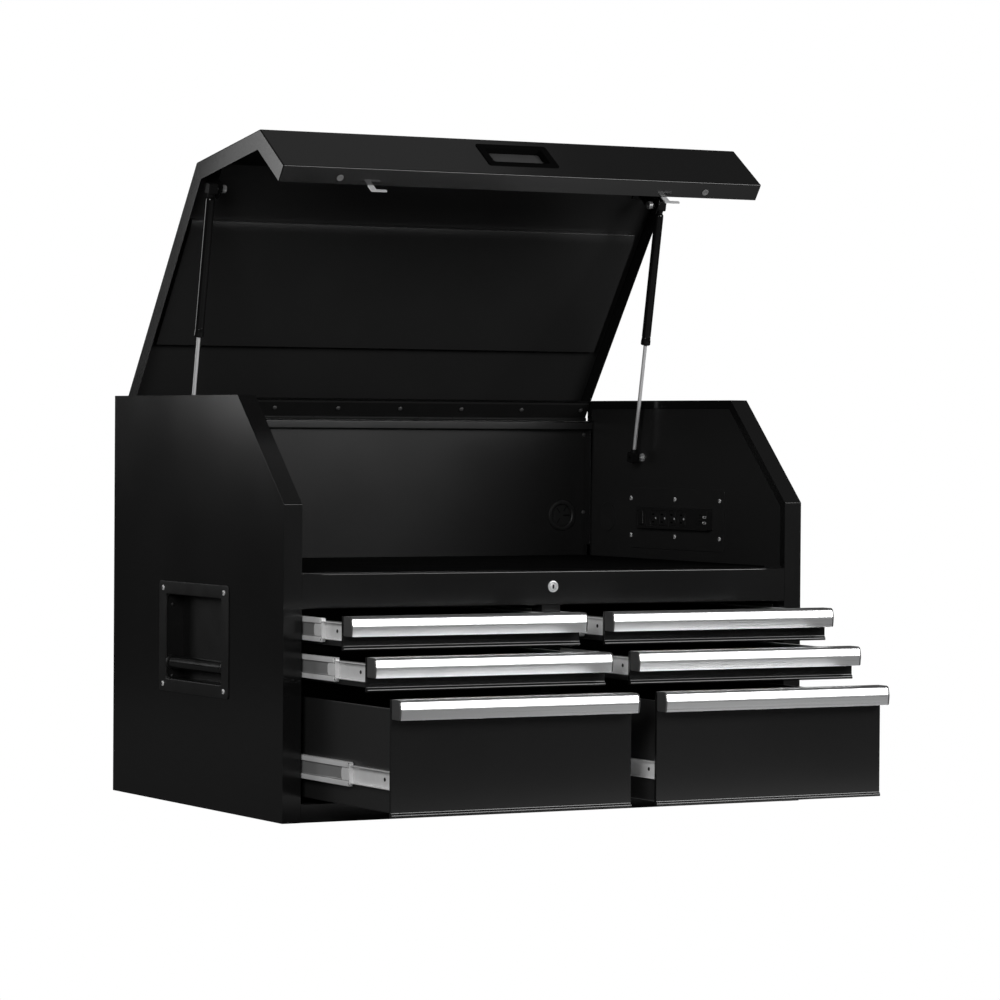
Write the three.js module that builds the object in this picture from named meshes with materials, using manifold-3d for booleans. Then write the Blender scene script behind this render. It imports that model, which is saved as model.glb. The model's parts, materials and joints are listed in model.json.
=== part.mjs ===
// Two-column steel tool chest with a gas-strut lid and six drawers on three-member slides.
// Millimetres. +X is the viewer's right, -Y the front, +Z up.
// The origin is on the floor, under the middle of the cabinet.

import * as THREE from 'three';
import { mergeVertices } from 'three/addons/utils/BufferGeometryUtils.js';
import Module from 'manifold-3d';

const wasm = await Module();
wasm.setup();

// Cabinet
const width = 914;
const depth = 622;
const height = 637;
const wall = 30.5;
const sheet = 1.2;
const lipWidth = 14;
const seat = 0.3;
const overrun = 5;

// Front, from the floor up
const bottomRail = 29;
const bottomGap = 2.4;
const rowGap = 5.3;
const shallowFront = 50.6;
const railHeight = 52.2;
const railTop = 370.5;
const railDepth = 44;
const dividerWidth = 32.4;

// Lid and its hinge
const lidOpenDegrees = 54.6;
const lidSideGap = 1.5;
const lidGap = 1.5;
const lidBand = 29;
const lidFront = 102;
const hingeDrop = 32;
const hingeBehind = 4.5;
const knuckleRadius = 3.6;
const hingePinRadius = 1.5;
const hingeKnuckles = 13;
const hingeLeafWidth = 24;

// Drawers and slides
const frontSideGap = 5.85;
const frontThickness = 5.5;
const boxDepth = 560;
const boxFloorRise = 5.3;
const shallowBoxHeight = 36;
const deepBoxHeight = 150;
const hem = 5;
const slideDepth = 12.7;
const slideSetback = 11;
const slideLength = 555;
const middleLength = 540;
const middleSetback = 12;
const middleTravelShare = 0.6;
const outerMemberHeight = 45;
const middleMemberHeight = 35;
const innerMemberHeight = 26;
const shallowSlideRise = 27.5;
const deepSlideRise = 52.7;
const pullDepth = 28;
const pullHeight = 29;
const pullWall = 1.8;
const pullCap = 2.5;

// How far each row stands open, from the top row down
const openTop = 124.6;
const openMiddle = 200.5;
const openBottom = 278.3;

// Gas struts
const strutInset = 16.5;
const strutLowY = 129;
const strutLowDrop = 95.5;
const strutHighY = -128;
const strutHighDrop = 43;
const cylinderRadius = 7.5;
const cylinderLength = 214;
const rodRadius = 3;
const socketRadius = 8.5;
const socketWidth = 15;
const socketNeck = 14;

// Places worked out from the sizes above
const front = -depth / 2;
const back = depth / 2;
const side = width / 2;
const sideInner = side - wall;
const slideBack = sideInner - seat;
const railBottom = railTop - railHeight;
const lidHalf = sideInner - lidSideGap;
const lidBottom = railTop + lidGap;
const slope = height - lidBottom - lidFront;
const hingeY = back + hingeBehind;
const hingeZ = height - hingeDrop;
const leafTop = hingeZ - knuckleRadius;
const lidFlangeZ = hingeZ + knuckleRadius + seat;
const lidOpen = THREE.MathUtils.degToRad(lidOpenDegrees);
const strutX = sideInner - strutInset;
const strutLowZ = height - strutLowDrop;
const strutHighZ = height - strutHighDrop;

// Shapes

function solid(geometry) {
  const bare = geometry.index ? geometry.toNonIndexed() : geometry;
  bare.deleteAttribute('normal');
  bare.deleteAttribute('uv');
  const merged = mergeVertices(bare);
  const mesh = new wasm.Mesh({
    numProp: 3,
    vertProperties: new Float32Array(merged.attributes.position.array),
    triVerts: new Uint32Array(merged.index.array),
  });
  return new wasm.Manifold(mesh);
}

function block([x0, x1], [y0, y1], [z0, z1]) {
  const geometry = new THREE.BoxGeometry(Math.abs(x1 - x0), Math.abs(y1 - y0), Math.abs(z1 - z0));
  geometry.translate((x0 + x1) / 2, (y0 + y1) / 2, (z0 + z1) / 2);
  return solid(geometry);
}

function extrude(outline, length, right, up, along, start) {
  const shape = new THREE.Shape(outline.map(([a, b]) => new THREE.Vector2(a, b)));
  const geometry = new THREE.ExtrudeGeometry(shape, { depth: length, bevelEnabled: false });
  geometry.applyMatrix4(new THREE.Matrix4().makeBasis(right, up, along));
  geometry.translate(start.x, start.y, start.z);
  return solid(geometry);
}

const axisX = new THREE.Vector3(1, 0, 0);
const axisY = new THREE.Vector3(0, 1, 0);
const axisZ = new THREE.Vector3(0, 0, 1);

// An outline of [y, z] points, run from x0 to x1
function alongX(outline, x0, x1) {
  const start = new THREE.Vector3(Math.min(x0, x1), 0, 0);
  return extrude(outline, Math.abs(x1 - x0), axisY, axisZ, axisX, start);
}

// An outline of [x, z] points, run from y0 to y1
function alongY(outline, y0, y1) {
  const start = new THREE.Vector3(0, Math.max(y0, y1), 0);
  return extrude(outline, Math.abs(y1 - y0), axisX, axisZ, axisY.clone().negate(), start);
}

function cylinder(radius, length, sides) {
  return new THREE.CylinderGeometry(radius, radius, length, sides);
}

function rodX(radius, x0, x1, y, z, sides) {
  const geometry = cylinder(radius, Math.abs(x1 - x0), sides);
  geometry.rotateZ(Math.PI / 2);
  geometry.translate((x0 + x1) / 2, y, z);
  return solid(geometry);
}

function rodY(radius, y0, y1, x, z, sides) {
  const geometry = cylinder(radius, Math.abs(y1 - y0), sides);
  geometry.translate(x, (y0 + y1) / 2, z);
  return solid(geometry);
}

function rodZ(radius, z0, z1, sides) {
  const geometry = cylinder(radius, Math.abs(z1 - z0), sides);
  geometry.rotateX(Math.PI / 2);
  geometry.translate(0, 0, (z0 + z1) / 2);
  return solid(geometry);
}

function join(solids) {
  return solids.reduce((sum, next) => sum.add(next));
}

// A rectangle with round corners, centred on a point
function roundedRectangle(centreA, centreB, halfA, halfB, radius, steps) {
  const corners = [[1, 1, 0], [-1, 1, 1], [-1, -1, 2], [1, -1, 3]];
  const points = [];
  for (const [a, b, quarter] of corners) {
    for (let i = 0; i <= steps; i += 1) {
      const angle = (quarter + i / steps) * Math.PI / 2;
      const cornerA = centreA + a * (halfA - radius);
      const cornerB = centreB + b * (halfB - radius);
      points.push([cornerA + radius * Math.cos(angle), cornerB + radius * Math.sin(angle)]);
    }
  }
  return points;
}

// Moves each edge of a convex, counter-clockwise outline inwards
function inset(outline, distance) {
  const count = outline.length;
  const edges = outline.map(([a, b], i) => {
    const [c, d] = outline[(i + 1) % count];
    const run = Math.hypot(c - a, d - b);
    const normal = [(b - d) / run, (c - a) / run];
    return { a: a + normal[0] * distance, b: b + normal[1] * distance, da: c - a, db: d - b };
  });
  return edges.map((edge, i) => {
    const last = edges[(i + count - 1) % count];
    const cross = last.da * edge.db - last.db * edge.da;
    const t = ((edge.a - last.a) * edge.db - (edge.b - last.b) * edge.da) / cross;
    return [last.a + last.da * t, last.b + last.db * t];
  });
}

// Scene

const chest = new THREE.Group();
const lidPivot = new THREE.Group();
lidPivot.position.set(0, hingeY, hingeZ);
lidPivot.rotation.x = -lidOpen;
chest.add(lidPivot);

// Lid pieces are drawn closed, in the cabinet's own coordinates
const lidGroup = new THREE.Group();
lidGroup.position.set(0, -hingeY, -hingeZ);
lidPivot.add(lidGroup);

const finishes = {
  blackCoat: { color: 0x0b0b0c, roughness: 0.25, metalness: 0.1 },
  blackPlastic: { color: 0x151517, roughness: 0.5, metalness: 0 },
  blackEnamel: { color: 0x0e0e0f, roughness: 0.3, metalness: 0.2 },
  brightAluminium: { color: 0xc9cacc, roughness: 0.22, metalness: 1 },
  zinc: { color: 0xa9abac, roughness: 0.35, metalness: 1 },
  chrome: { color: 0xd4d6d8, roughness: 0.1, metalness: 1 },
  rubber: { color: 0x101010, roughness: 0.8, metalness: 0 },
};

function part(name, body, finish, parent = chest) {
  const mesh = body.getMesh();
  const geometry = new THREE.BufferGeometry();
  geometry.setAttribute('position', new THREE.BufferAttribute(mesh.vertProperties, 3));
  geometry.setIndex(new THREE.BufferAttribute(mesh.triVerts, 1));
  geometry.computeVertexNormals();
  const node = new THREE.Mesh(geometry, new THREE.MeshStandardMaterial(finishes[finish]));
  node.name = name;
  parent.add(node);
}

const hands = [['left', -1], ['right', 1]];

// Side panels: an outer skin folded over all its edges, with a lip turned in

const sideOutline = [
  [front, 0],
  [back, 0],
  [back, height],
  [front + slope, height],
  [front, height - slope],
];

const handleY = 3;
const handleZ = 259.5;
const handleOpening = { halfY: 98, halfZ: 65, radius: 9, fit: 0.5 };

function handleHole(hand) {
  const { halfY, halfZ, radius, fit } = handleOpening;
  const grow = sheet + fit;
  const hole = roundedRectangle(handleY, handleZ, halfY + grow, halfZ + grow, radius + grow, 3);
  return alongX(hole, hand * (side - sheet - overrun), hand * (side + overrun));
}

function sidePanel(hand) {
  return alongX(sideOutline, hand * sideInner, hand * side)
    .subtract(alongX(inset(sideOutline, sheet), hand * (sideInner + sheet), hand * (side - sheet)))
    .subtract(alongX(inset(sideOutline, lipWidth), hand * (sideInner - overrun), hand * (sideInner + wall / 2)))
    .subtract(handleHole(hand));
}

// Liners close the side walls inside the top compartment and carry the lower strut studs

const linerInset = 7;
const studBase = { radius: 7, thickness: 3 };
const linerFace = sideInner + sheet + seat;

function sideLiner(hand) {
  const outline = inset(sideOutline, linerInset);
  const sheetSolid = alongX(outline, hand * linerFace, hand * (linerFace + sheet));
  const below = block(
    [hand * (linerFace - overrun), hand * (linerFace + overrun)],
    [front - overrun, back + overrun],
    [-overrun, railTop - sheet],
  );
  const base = rodX(studBase.radius, hand * (linerFace + sheet / 2), hand * (linerFace - studBase.thickness),
    strutLowY, strutLowZ, 6);
  const pin = rodX(rodRadius, hand * linerFace, hand * (strutX - socketWidth / 2), strutLowY, strutLowZ, 12);
  return join([sheetSolid.subtract(below), base, pin]);
}

// Recessed side handles: a flanged tub with a fixed bar across it

const handlePlate = { halfY: 127, halfZ: 86.5, radius: 8, thickness: 1.5 };
const handleDepth = wall - sheet - seat;
const handleBar = { radius: 6.5, inset: 10, rise: 24, bossRadius: 10, bossLength: 5 };
const handleBarX = side - handleBar.inset;
const handleBarZ = handleZ - handleOpening.halfZ + handleBar.rise;

function handleRecess(hand) {
  const { halfY, halfZ, radius } = handleOpening;
  const plateStart = hand * (side + seat);
  const plateEnd = hand * (side + seat + handlePlate.thickness);
  const tubBottom = hand * (side - handleDepth);
  const plate = alongX(
    roundedRectangle(handleY, handleZ, handlePlate.halfY, handlePlate.halfZ, handlePlate.radius, 3),
    plateStart,
    plateEnd,
  );
  const outer = roundedRectangle(handleY, handleZ, halfY + sheet, halfZ + sheet, radius + sheet, 3);
  const inner = roundedRectangle(handleY, handleZ, halfY, halfZ, radius, 3);
  const tub = alongX(outer, tubBottom, plateStart + hand * handlePlate.thickness / 2);
  const hollow = alongX(inner, tubBottom + hand * sheet, plateEnd + hand * overrun);
  const bosses = [-1, 1].map((end) => rodY(
    handleBar.bossRadius,
    handleY + end * (halfY + sheet / 2),
    handleY + end * (halfY - handleBar.bossLength),
    hand * handleBarX,
    handleBarZ,
    16,
  ));
  return plate.add(tub).subtract(hollow).add(join(bosses));
}

function handleGrip(hand) {
  const reach = handleOpening.halfY - handleBar.bossLength - seat;
  return rodY(handleBar.radius, handleY - reach, handleY + reach, hand * handleBarX, handleBarZ, 16);
}

for (const [name, hand] of hands) {
  part(`${name}_side_panel`, sidePanel(hand), 'blackCoat');
  part(`${name}_side_liner`, sideLiner(hand), 'blackCoat');
  part(`${name}_handle_recess`, handleRecess(hand), 'blackPlastic');
  part(`${name}_handle_bar`, handleGrip(hand), 'blackEnamel');
}

// Bottom pan with the low front rail, and the back panel with its hinge flange

const panFlange = 20;
const panBack = back - sheet - seat;

function bottomPanel() {
  const spanX = [-slideBack, slideBack];
  return join([
    block(spanX, [front, panBack], [0, sheet]),
    block(spanX, [front, front + sheet], [0, bottomRail]),
    block(spanX, [front, front + lipWidth], [bottomRail - sheet, bottomRail]),
    block(spanX, [panBack - sheet, panBack], [0, panFlange]),
  ]);
}

const grommet = {
  fromWall: 50.5,
  aboveFloor: 70,
  holeRadius: 22,
  flangeRadius: 26,
  flange: 2.5,
  slit: 3,
  cup: 7,
};
const grommetX = sideInner - grommet.fromWall;
const grommetZ = railTop + grommet.aboveFloor;
const backFlange = { depth: 18, drop: 13 };

function backPanel() {
  const spanX = [-slideBack, slideBack];
  const flangeTop = leafTop - seat;
  const flangeFront = back - backFlange.depth;
  const edges = [-1, 1].map((hand) => block(
    [hand * slideBack, hand * (slideBack - sheet)],
    [back - lipWidth, back],
    [railTop + panFlange, flangeTop],
  ));
  return join([
    block(spanX, [back - sheet, back], [0, flangeTop]),
    block(spanX, [flangeFront, back], [flangeTop - sheet, flangeTop]),
    block(spanX, [flangeFront, flangeFront + sheet], [flangeTop - backFlange.drop, flangeTop]),
    ...edges,
  ]).subtract(rodY(grommet.holeRadius, back - lipWidth, back + overrun, grommetX, grommetZ, 32));
}

function cableGrommet() {
  const face = back - sheet - seat;
  const flange = rodY(grommet.flangeRadius, face, face - grommet.flange, grommetX, grommetZ, 32);
  const barrel = rodY(grommet.holeRadius - seat, face - grommet.flange / 2, back + grommet.flange,
    grommetX, grommetZ, 32);
  const innerRadius = grommet.holeRadius - seat - sheet - sheet;
  const cup = rodY(innerRadius, face + sheet, back + overrun, grommetX, grommetZ, 24);
  const opening = block(
    [grommetX - innerRadius, grommetX + innerRadius],
    [face - overrun, back],
    [grommetZ - grommet.slit, grommetZ + grommet.slit],
  );
  const notch = rodY(grommet.cup, face - overrun, back, grommetX, grommetZ, 16);
  return flange.add(barrel).subtract(cup).subtract(opening).subtract(notch);
}

part('bottom_panel', bottomPanel(), 'blackCoat');
part('back_panel', backPanel(), 'blackCoat');
part('cable_grommet', cableGrommet(), 'blackPlastic');

// Front rail: a folded channel that the lid closes onto, with slots for the lid's two hooks

const lockX = 3;
const lockDrop = 24;
const lockZ = railTop - lockDrop;
const lock = {
  flangeRadius: 9,
  flange: 1.6,
  barrelRadius: 7.6,
  barrelLength: 20,
  plugRadius: 5.2,
  keyWidth: 1.6,
  keyHeight: 6,
  keyDepth: 4,
  camLength: 26,
  camWidth: 9,
};
const hook = { fromSide: 164, halfWidth: 13.5, leg: 10, foot: 7, drop: 21, thickness: 2, room: 4 };

const hookX = lidHalf - hook.fromSide;

// A hook leans forward on its way out of the slot, by the slope of its path round the hinge
const hookSwing = hook.drop * (hingeZ - railTop) / (hingeY - front);

function frontRail() {
  const spanX = [-slideBack, slideBack];
  const channel = join([
    block(spanX, [front, front + sheet], [railBottom, railTop]),
    block(spanX, [front, front + railDepth], [railTop - sheet, railTop]),
    block(spanX, [front + railDepth - sheet, front + railDepth], [railTop - lipWidth, railTop]),
    block(spanX, [front, front + lipWidth], [railBottom, railBottom + sheet]),
  ]);
  const slots = [-1, 1].map((hand) => block(
    [hand * hookX - hook.halfWidth - hook.room, hand * hookX + hook.halfWidth + hook.room],
    [front + lidBand - hook.thickness - hookSwing - hook.room, front + lidBand + hook.room],
    [railTop - sheet - overrun, railTop + overrun],
  ));
  const lockHole = rodY(lock.barrelRadius + seat, front - overrun, front + overrun, lockX, lockZ, 24);
  return channel.subtract(join(slots)).subtract(lockHole);
}

function lockHousing() {
  const face = front - seat;
  const flange = rodY(lock.flangeRadius, face, face - lock.flange, lockX, lockZ, 24);
  const barrel = rodY(lock.barrelRadius, face - lock.flange / 2, front + lock.barrelLength, lockX, lockZ, 24);
  const bore = rodY(lock.plugRadius + seat, face - overrun, front + lock.barrelLength + overrun,
    lockX, lockZ, 24);
  return flange.add(barrel).subtract(bore);
}

function lockPlug() {
  const face = front - seat - lock.flange;
  const camStart = front + lock.barrelLength + seat;
  const plug = rodY(lock.plugRadius, face, camStart + sheet, lockX, lockZ, 24);
  const key = block(
    [lockX - lock.keyWidth / 2, lockX + lock.keyWidth / 2],
    [face - overrun, face + lock.keyDepth],
    [lockZ - lock.keyHeight / 2, lockZ + lock.keyHeight / 2],
  );
  const cam = alongY(
    roundedRectangle(lockX + lock.camLength / 2 - lock.camWidth / 2, lockZ,
      lock.camLength / 2, lock.camWidth / 2, lock.camWidth / 2 - seat, 4),
    camStart,
    camStart + sheet + sheet,
  );
  return plug.subtract(key).add(cam);
}

part('front_rail', frontRail(), 'blackCoat');
part('lock_housing', lockHousing(), 'chrome');
part('lock_plug', lockPlug(), 'chrome');

// Floor of the top compartment

function compartmentFloor() {
  const start = front + railDepth + seat;
  const end = back - sheet - seat;
  const tray = block([-slideBack, slideBack], [start, end], [railTop - lipWidth, railTop]);
  const under = block(
    [-slideBack + sheet, slideBack - sheet],
    [start + sheet, end - sheet],
    [railTop - lipWidth - overrun, railTop - sheet],
  );
  return tray.subtract(under);
}

// A thin mat lies in the compartment

const mat = { margin: 3, thickness: 2, radius: 6 };

function compartmentMat() {
  const x = slideBack - mat.margin;
  const y0 = front + railDepth + seat + mat.margin;
  const y1 = back - sheet - seat - mat.margin;
  const low = railTop + seat;
  const outline = roundedRectangle(0, (y0 + y1) / 2, x, (y1 - y0) / 2, mat.radius, 3);
  const shape = new THREE.Shape(outline.map(([a, b]) => new THREE.Vector2(a, b)));
  const geometry = new THREE.ExtrudeGeometry(shape, { depth: mat.thickness, bevelEnabled: false });
  geometry.translate(0, 0, low);
  return solid(geometry);
}

part('compartment_floor', compartmentFloor(), 'blackCoat');
part('compartment_mat', compartmentMat(), 'rubber');

// Ball-bearing slides. A section is drawn for the left side of a bay, starting at the wall's face

const memberWall = 1.2;
const race = { outerReach: 10, middleStart: 2.4, middleReach: 11, innerStart: 4.8, cageStart: 5, cageWidth: 4 };
const cageLength = 150;
const lightening = { length: 60, height: 14, pitch: 105 };

function channelSection(webFrom, webTo, flangeTo, tall, x0, hand, z) {
  const at = (u) => x0 + hand * u;
  const top = z + tall / 2;
  const low = z - tall / 2;
  return [
    [[at(webFrom), low], [at(webTo), low], [at(webTo), top], [at(webFrom), top]],
    [[at(webFrom), top - memberWall], [at(flangeTo), top - memberWall], [at(flangeTo), top], [at(webFrom), top]],
    [[at(webFrom), low], [at(flangeTo), low], [at(flangeTo), low + memberWall], [at(webFrom), low + memberWall]],
  ];
}

// Slots along the web lighten a member, as its pressings do
function lightenWeb(member, x0, y0, length, z) {
  const count = Math.floor((length - lightening.length) / lightening.pitch);
  const first = y0 + (length - count * lightening.pitch) / 2 + lightening.pitch / 2;
  const cuts = [];
  for (let i = 0; i < count; i += 1) {
    const centre = first + i * lightening.pitch;
    const outline = roundedRectangle(centre, z, lightening.length / 2, lightening.height / 2,
      lightening.height / 2 - seat, 2);
    cuts.push(alongX(outline, x0 - memberWall, x0 + memberWall));
  }
  return member.subtract(join(cuts));
}

function runSection(outlines, y0, y1) {
  return join(outlines.map((outline) => alongY(outline, y0, y1)));
}

function outerMember(x0, hand, z) {
  const start = front + slideSetback;
  const outlines = channelSection(0, memberWall, race.outerReach, outerMemberHeight, x0, hand, z);
  return runSection(outlines, start, start + slideLength);
}

// Ball cages fill the races between two members and leave the running clearance
function cages(x0, hand, z, from, to, y0, y1) {
  const left = Math.min(x0 + hand * race.cageStart, x0 + hand * (race.cageStart + race.cageWidth));
  return [-1, 1].map((up) => block(
    [left, left + race.cageWidth],
    [y0, y1],
    [Math.min(z + up * from, z + up * to), Math.max(z + up * from, z + up * to)],
  ));
}

function middleMember(x0, hand, z, open) {
  const start = front + middleSetback - middleTravelShare * open;
  const webEnd = race.middleStart + memberWall;
  const outlines = channelSection(race.middleStart, webEnd, race.middleReach, middleMemberHeight, x0, hand, z);
  const end = start + middleLength;
  const body = lightenWeb(runSection(outlines, start, end), x0 + hand * race.middleStart, start, middleLength, z);
  const from = middleMemberHeight / 2 - memberWall / 2;
  const to = outerMemberHeight / 2 - memberWall - seat;
  return join([body, ...cages(x0, hand, z, from, to, end - cageLength, end)]);
}

function innerMember(x0, hand, z, y0) {
  const length = boxDepth - slideSetback;
  const webFrom = slideDepth - memberWall;
  const webTo = slideDepth + memberWall / 2;
  const outlines = channelSection(webTo, webFrom, race.innerStart, innerMemberHeight, x0, hand, z);
  const from = innerMemberHeight / 2 - memberWall / 2;
  const to = middleMemberHeight / 2 - memberWall - seat;
  const end = y0 + length;
  return join([runSection(outlines, y0, end), ...cages(x0, hand, z, from, to, end - cageLength, end)]);
}

// Rows of drawers, from the top row down

function rows() {
  const topOfFirst = railBottom - rowGap;
  const topOfSecond = topOfFirst - shallowFront - rowGap;
  const topOfThird = topOfSecond - shallowFront - rowGap;
  const lowest = bottomRail + bottomGap;
  const shallow = { boxHeight: shallowBoxHeight, slideRise: shallowSlideRise };
  return [
    { name: 'top', top: topOfFirst, bottom: topOfFirst - shallowFront, open: openTop, ...shallow },
    { name: 'middle', top: topOfSecond, bottom: topOfSecond - shallowFront, open: openMiddle, ...shallow },
    {
      name: 'bottom',
      top: topOfThird,
      bottom: lowest,
      open: openBottom,
      boxHeight: deepBoxHeight,
      slideRise: deepSlideRise,
    },
  ];
}

const drawerRows = rows();

// Upright posts in the hollow of each side wall carry the three outer members

const post = { width: 30, frontInset: lipWidth + seat, rearInset: 540 };

function slideFrame(hand) {
  const posts = [post.frontInset, post.rearInset].map((distance) => {
    const y0 = front + distance;
    const xs = [hand * slideBack, hand * (side - sheet - seat)];
    const solidPost = block(xs, [y0, y0 + post.width], [lipWidth + seat, railBottom - seat]);
    const hollow = block(
      [hand * (slideBack + sheet), hand * (side + overrun)],
      [y0 + sheet, y0 + post.width - sheet],
      [-overrun, railBottom + overrun],
    );
    return solidPost.subtract(hollow);
  });
  const members = drawerRows.map((row) => outerMember(hand * slideBack, -hand, row.bottom + row.slideRise));
  return join([...posts, ...members]);
}

function centreDivider() {
  const half = dividerWidth / 2;
  const bottomZ = sheet + seat;
  const topZ = railBottom - seat;
  const end = back - sheet - seat;
  const face = block([-half, half], [front, front + sheet], [bottomRail + seat, topZ]);
  const walls = [-1, 1].map((hand) => block(
    [hand * half, hand * (half - sheet)],
    [front + lipWidth + seat, end],
    [bottomZ, topZ],
  ));
  const cheeks = [-1, 1].map((hand) => block(
    [hand * half, hand * (half - sheet)],
    [front, front + lipWidth + overrun],
    [bottomRail + seat, topZ],
  ));
  const rearWeb = block([-half, half], [end - sheet, end], [panFlange + seat, topZ]);
  const members = [];
  for (const hand of [-1, 1]) {
    for (const row of drawerRows) {
      members.push(outerMember(hand * half, hand, row.bottom + row.slideRise));
    }
  }
  const panCorner = block(
    [-half - overrun, half + overrun],
    [panBack - sheet - seat, panBack + overrun],
    [-overrun, panFlange + seat],
  );
  return join([face, ...walls, ...cheeks, rearWeb, ...members]).subtract(panCorner);
}

for (const [name, hand] of hands) {
  part(`${name}_slide_frame`, slideFrame(hand), 'zinc');
}
part('centre_divider', centreDivider(), 'blackCoat');

// Drawers: an open box, a folded front with a flared foot, and the two inner slide members

const flare = { height: 6, forward: 2.5 };
const frontLip = 14;
const screwAccess = { radius: 4, spreadShares: [0.2, 0.8] };
const bayLeft = dividerWidth / 2;
const bayRight = slideBack;

function drawerFront(row, x0, x1, y0) {
  const top = row.top;
  const bottom = row.bottom;
  const lipFace = y0 + frontThickness - sheet;
  const outline = [
    [y0 - flare.forward, bottom],
    [y0 + frontThickness, bottom],
    [y0 + frontThickness, top],
    [y0, top],
    [y0, bottom + flare.height],
  ];
  const pocket = block([x0 + sheet, x1 - sheet], [y0 + sheet, lipFace], [bottom + sheet, top - sheet]);
  const window = block(
    [x0 + frontLip, x1 - frontLip],
    [y0 + sheet, lipFace + overrun],
    [bottom + frontLip, top - frontLip],
  );
  return alongX(outline, x0, x1).subtract(pocket).subtract(window);
}

// The box's front wall closes the folded front, but for the holes that reach the pull's screws
function drawerBox(row, x0, x1, y0) {
  const low = row.bottom + boxFloorRise;
  const high = low + row.boxHeight;
  const end = y0 + boxDepth;
  const shell = block([x0, x1], [y0, end], [low, high]);
  const cavity = block([x0 + sheet, x1 - sheet], [y0 + sheet, end - sheet], [low + sheet, high + overrun]);
  const hems = [
    block([x0, x0 + hem], [y0, end], [high - sheet, high]),
    block([x1 - hem, x1], [y0, end], [high - sheet, high]),
    block([x0, x1], [end - hem, end], [high - sheet, high]),
  ];
  const holes = screwAccess.spreadShares.map((share) => rodY(
    screwAccess.radius,
    y0 - overrun,
    y0 + sheet + overrun,
    x0 + (x1 - x0) * share,
    row.top - pullHeight / 2,
    8,
  ));
  return join([shell.subtract(cavity), ...hems]).subtract(join(holes));
}

function drawer(row, hand) {
  const bay = [hand * bayLeft, hand * bayRight].sort((a, b) => a - b);
  const lipFace = hand * sideInner;
  const frontSpan = [lipFace, hand * bayLeft].sort((a, b) => a - b);
  const y0 = front - row.open;
  const boxStart = y0 + frontThickness - sheet;
  const z = row.bottom + row.slideRise;
  const x0 = bay[0] + slideDepth;
  const x1 = bay[1] - slideDepth;
  const memberStart = y0 + frontThickness + seat;
  return join([
    drawerFront(row, frontSpan[0] + frontSideGap, frontSpan[1] - frontSideGap, y0),
    drawerBox(row, x0, x1, boxStart),
    innerMember(bay[0], 1, z, memberStart),
    innerMember(bay[1], -1, z, memberStart),
  ]);
}

// Full-width pull: a bent profile open below, closed by a cap at each end

const pullShares = { topDepth: 0.78, noseDrop: 0.5, footDepth: 0.93, cornerDepth: 0.9, cornerDrop: 0.1 };

function pullOutline(face, top, wallIn) {
  const reach = pullDepth - wallIn;
  const drop = pullHeight;
  return [
    [face - reach * pullShares.topDepth, top - wallIn],
    [face - reach * pullShares.cornerDepth, top - wallIn - drop * pullShares.cornerDrop],
    [face - reach, top - drop * pullShares.noseDrop],
    [face - reach * pullShares.footDepth, top - drop - (wallIn > 0 ? overrun : 0)],
  ];
}

function drawerPull(row, hand) {
  const face = front - row.open - seat;
  const xs = [hand * sideInner, hand * bayLeft].sort((a, b) => a - b);
  const x0 = xs[0] + frontSideGap;
  const x1 = xs[1] - frontSideGap;
  const backPlate = face - pullWall;
  const outline = [[face, row.top], ...pullOutline(face, row.top, 0), [face, row.top - pullHeight]];
  const cavity = [
    [backPlate, row.top - pullWall],
    ...pullOutline(face, row.top, pullWall),
    [backPlate, row.top - pullHeight - overrun],
  ];
  return alongX(outline, x0, x1).subtract(alongX(cavity, x0 + pullCap, x1 - pullCap));
}

for (const [column, hand] of hands) {
  for (const row of drawerRows) {
    const z = row.bottom + row.slideRise;
    part(`${column}_${row.name}_drawer`, drawer(row, hand), 'blackCoat');
    part(`${column}_${row.name}_pull`, drawerPull(row, hand), 'brightAluminium');
    part(`${column}_${row.name}_outboard_runner`, middleMember(hand * bayRight, -hand, z, row.open), 'zinc');
    part(`${column}_${row.name}_inboard_runner`, middleMember(hand * bayLeft, hand, z, row.open), 'zinc');
  }
}

// Power strip on a plate on the right-hand liner

const plate = { y0: -130.5, y1: 167.5, rise: 19.1, tall: 101.6, radius: 5 };
const strip = { y0: -94.5, y1: 131, rise: 53, tall: 35.5, proud: 10, radius: 3 };
const outlets = { count: 4, firstY: 72.7, pitch: 29.5, halfWidth: 11, halfHeight: 13, recess: 1.5 };
const switchWell = { halfWidth: 9, halfHeight: 12, recess: 2 };
const ports = { y: -76.5, halfWidth: 6.5, halfHeight: 3, pitch: 10 };
const plateFace = linerFace - seat;
const stripBack = plateFace - sheet - seat;
const stripFace = stripBack - strip.proud;

function powerPlate() {
  const halfY = (plate.y1 - plate.y0) / 2;
  const halfZ = plate.tall / 2;
  const midZ = railTop + plate.rise + halfZ;
  const outline = roundedRectangle(plate.y0 + halfY, midZ, halfY, halfZ, plate.radius, 3);
  return alongX(outline, plateFace - sheet, plateFace);
}

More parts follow.
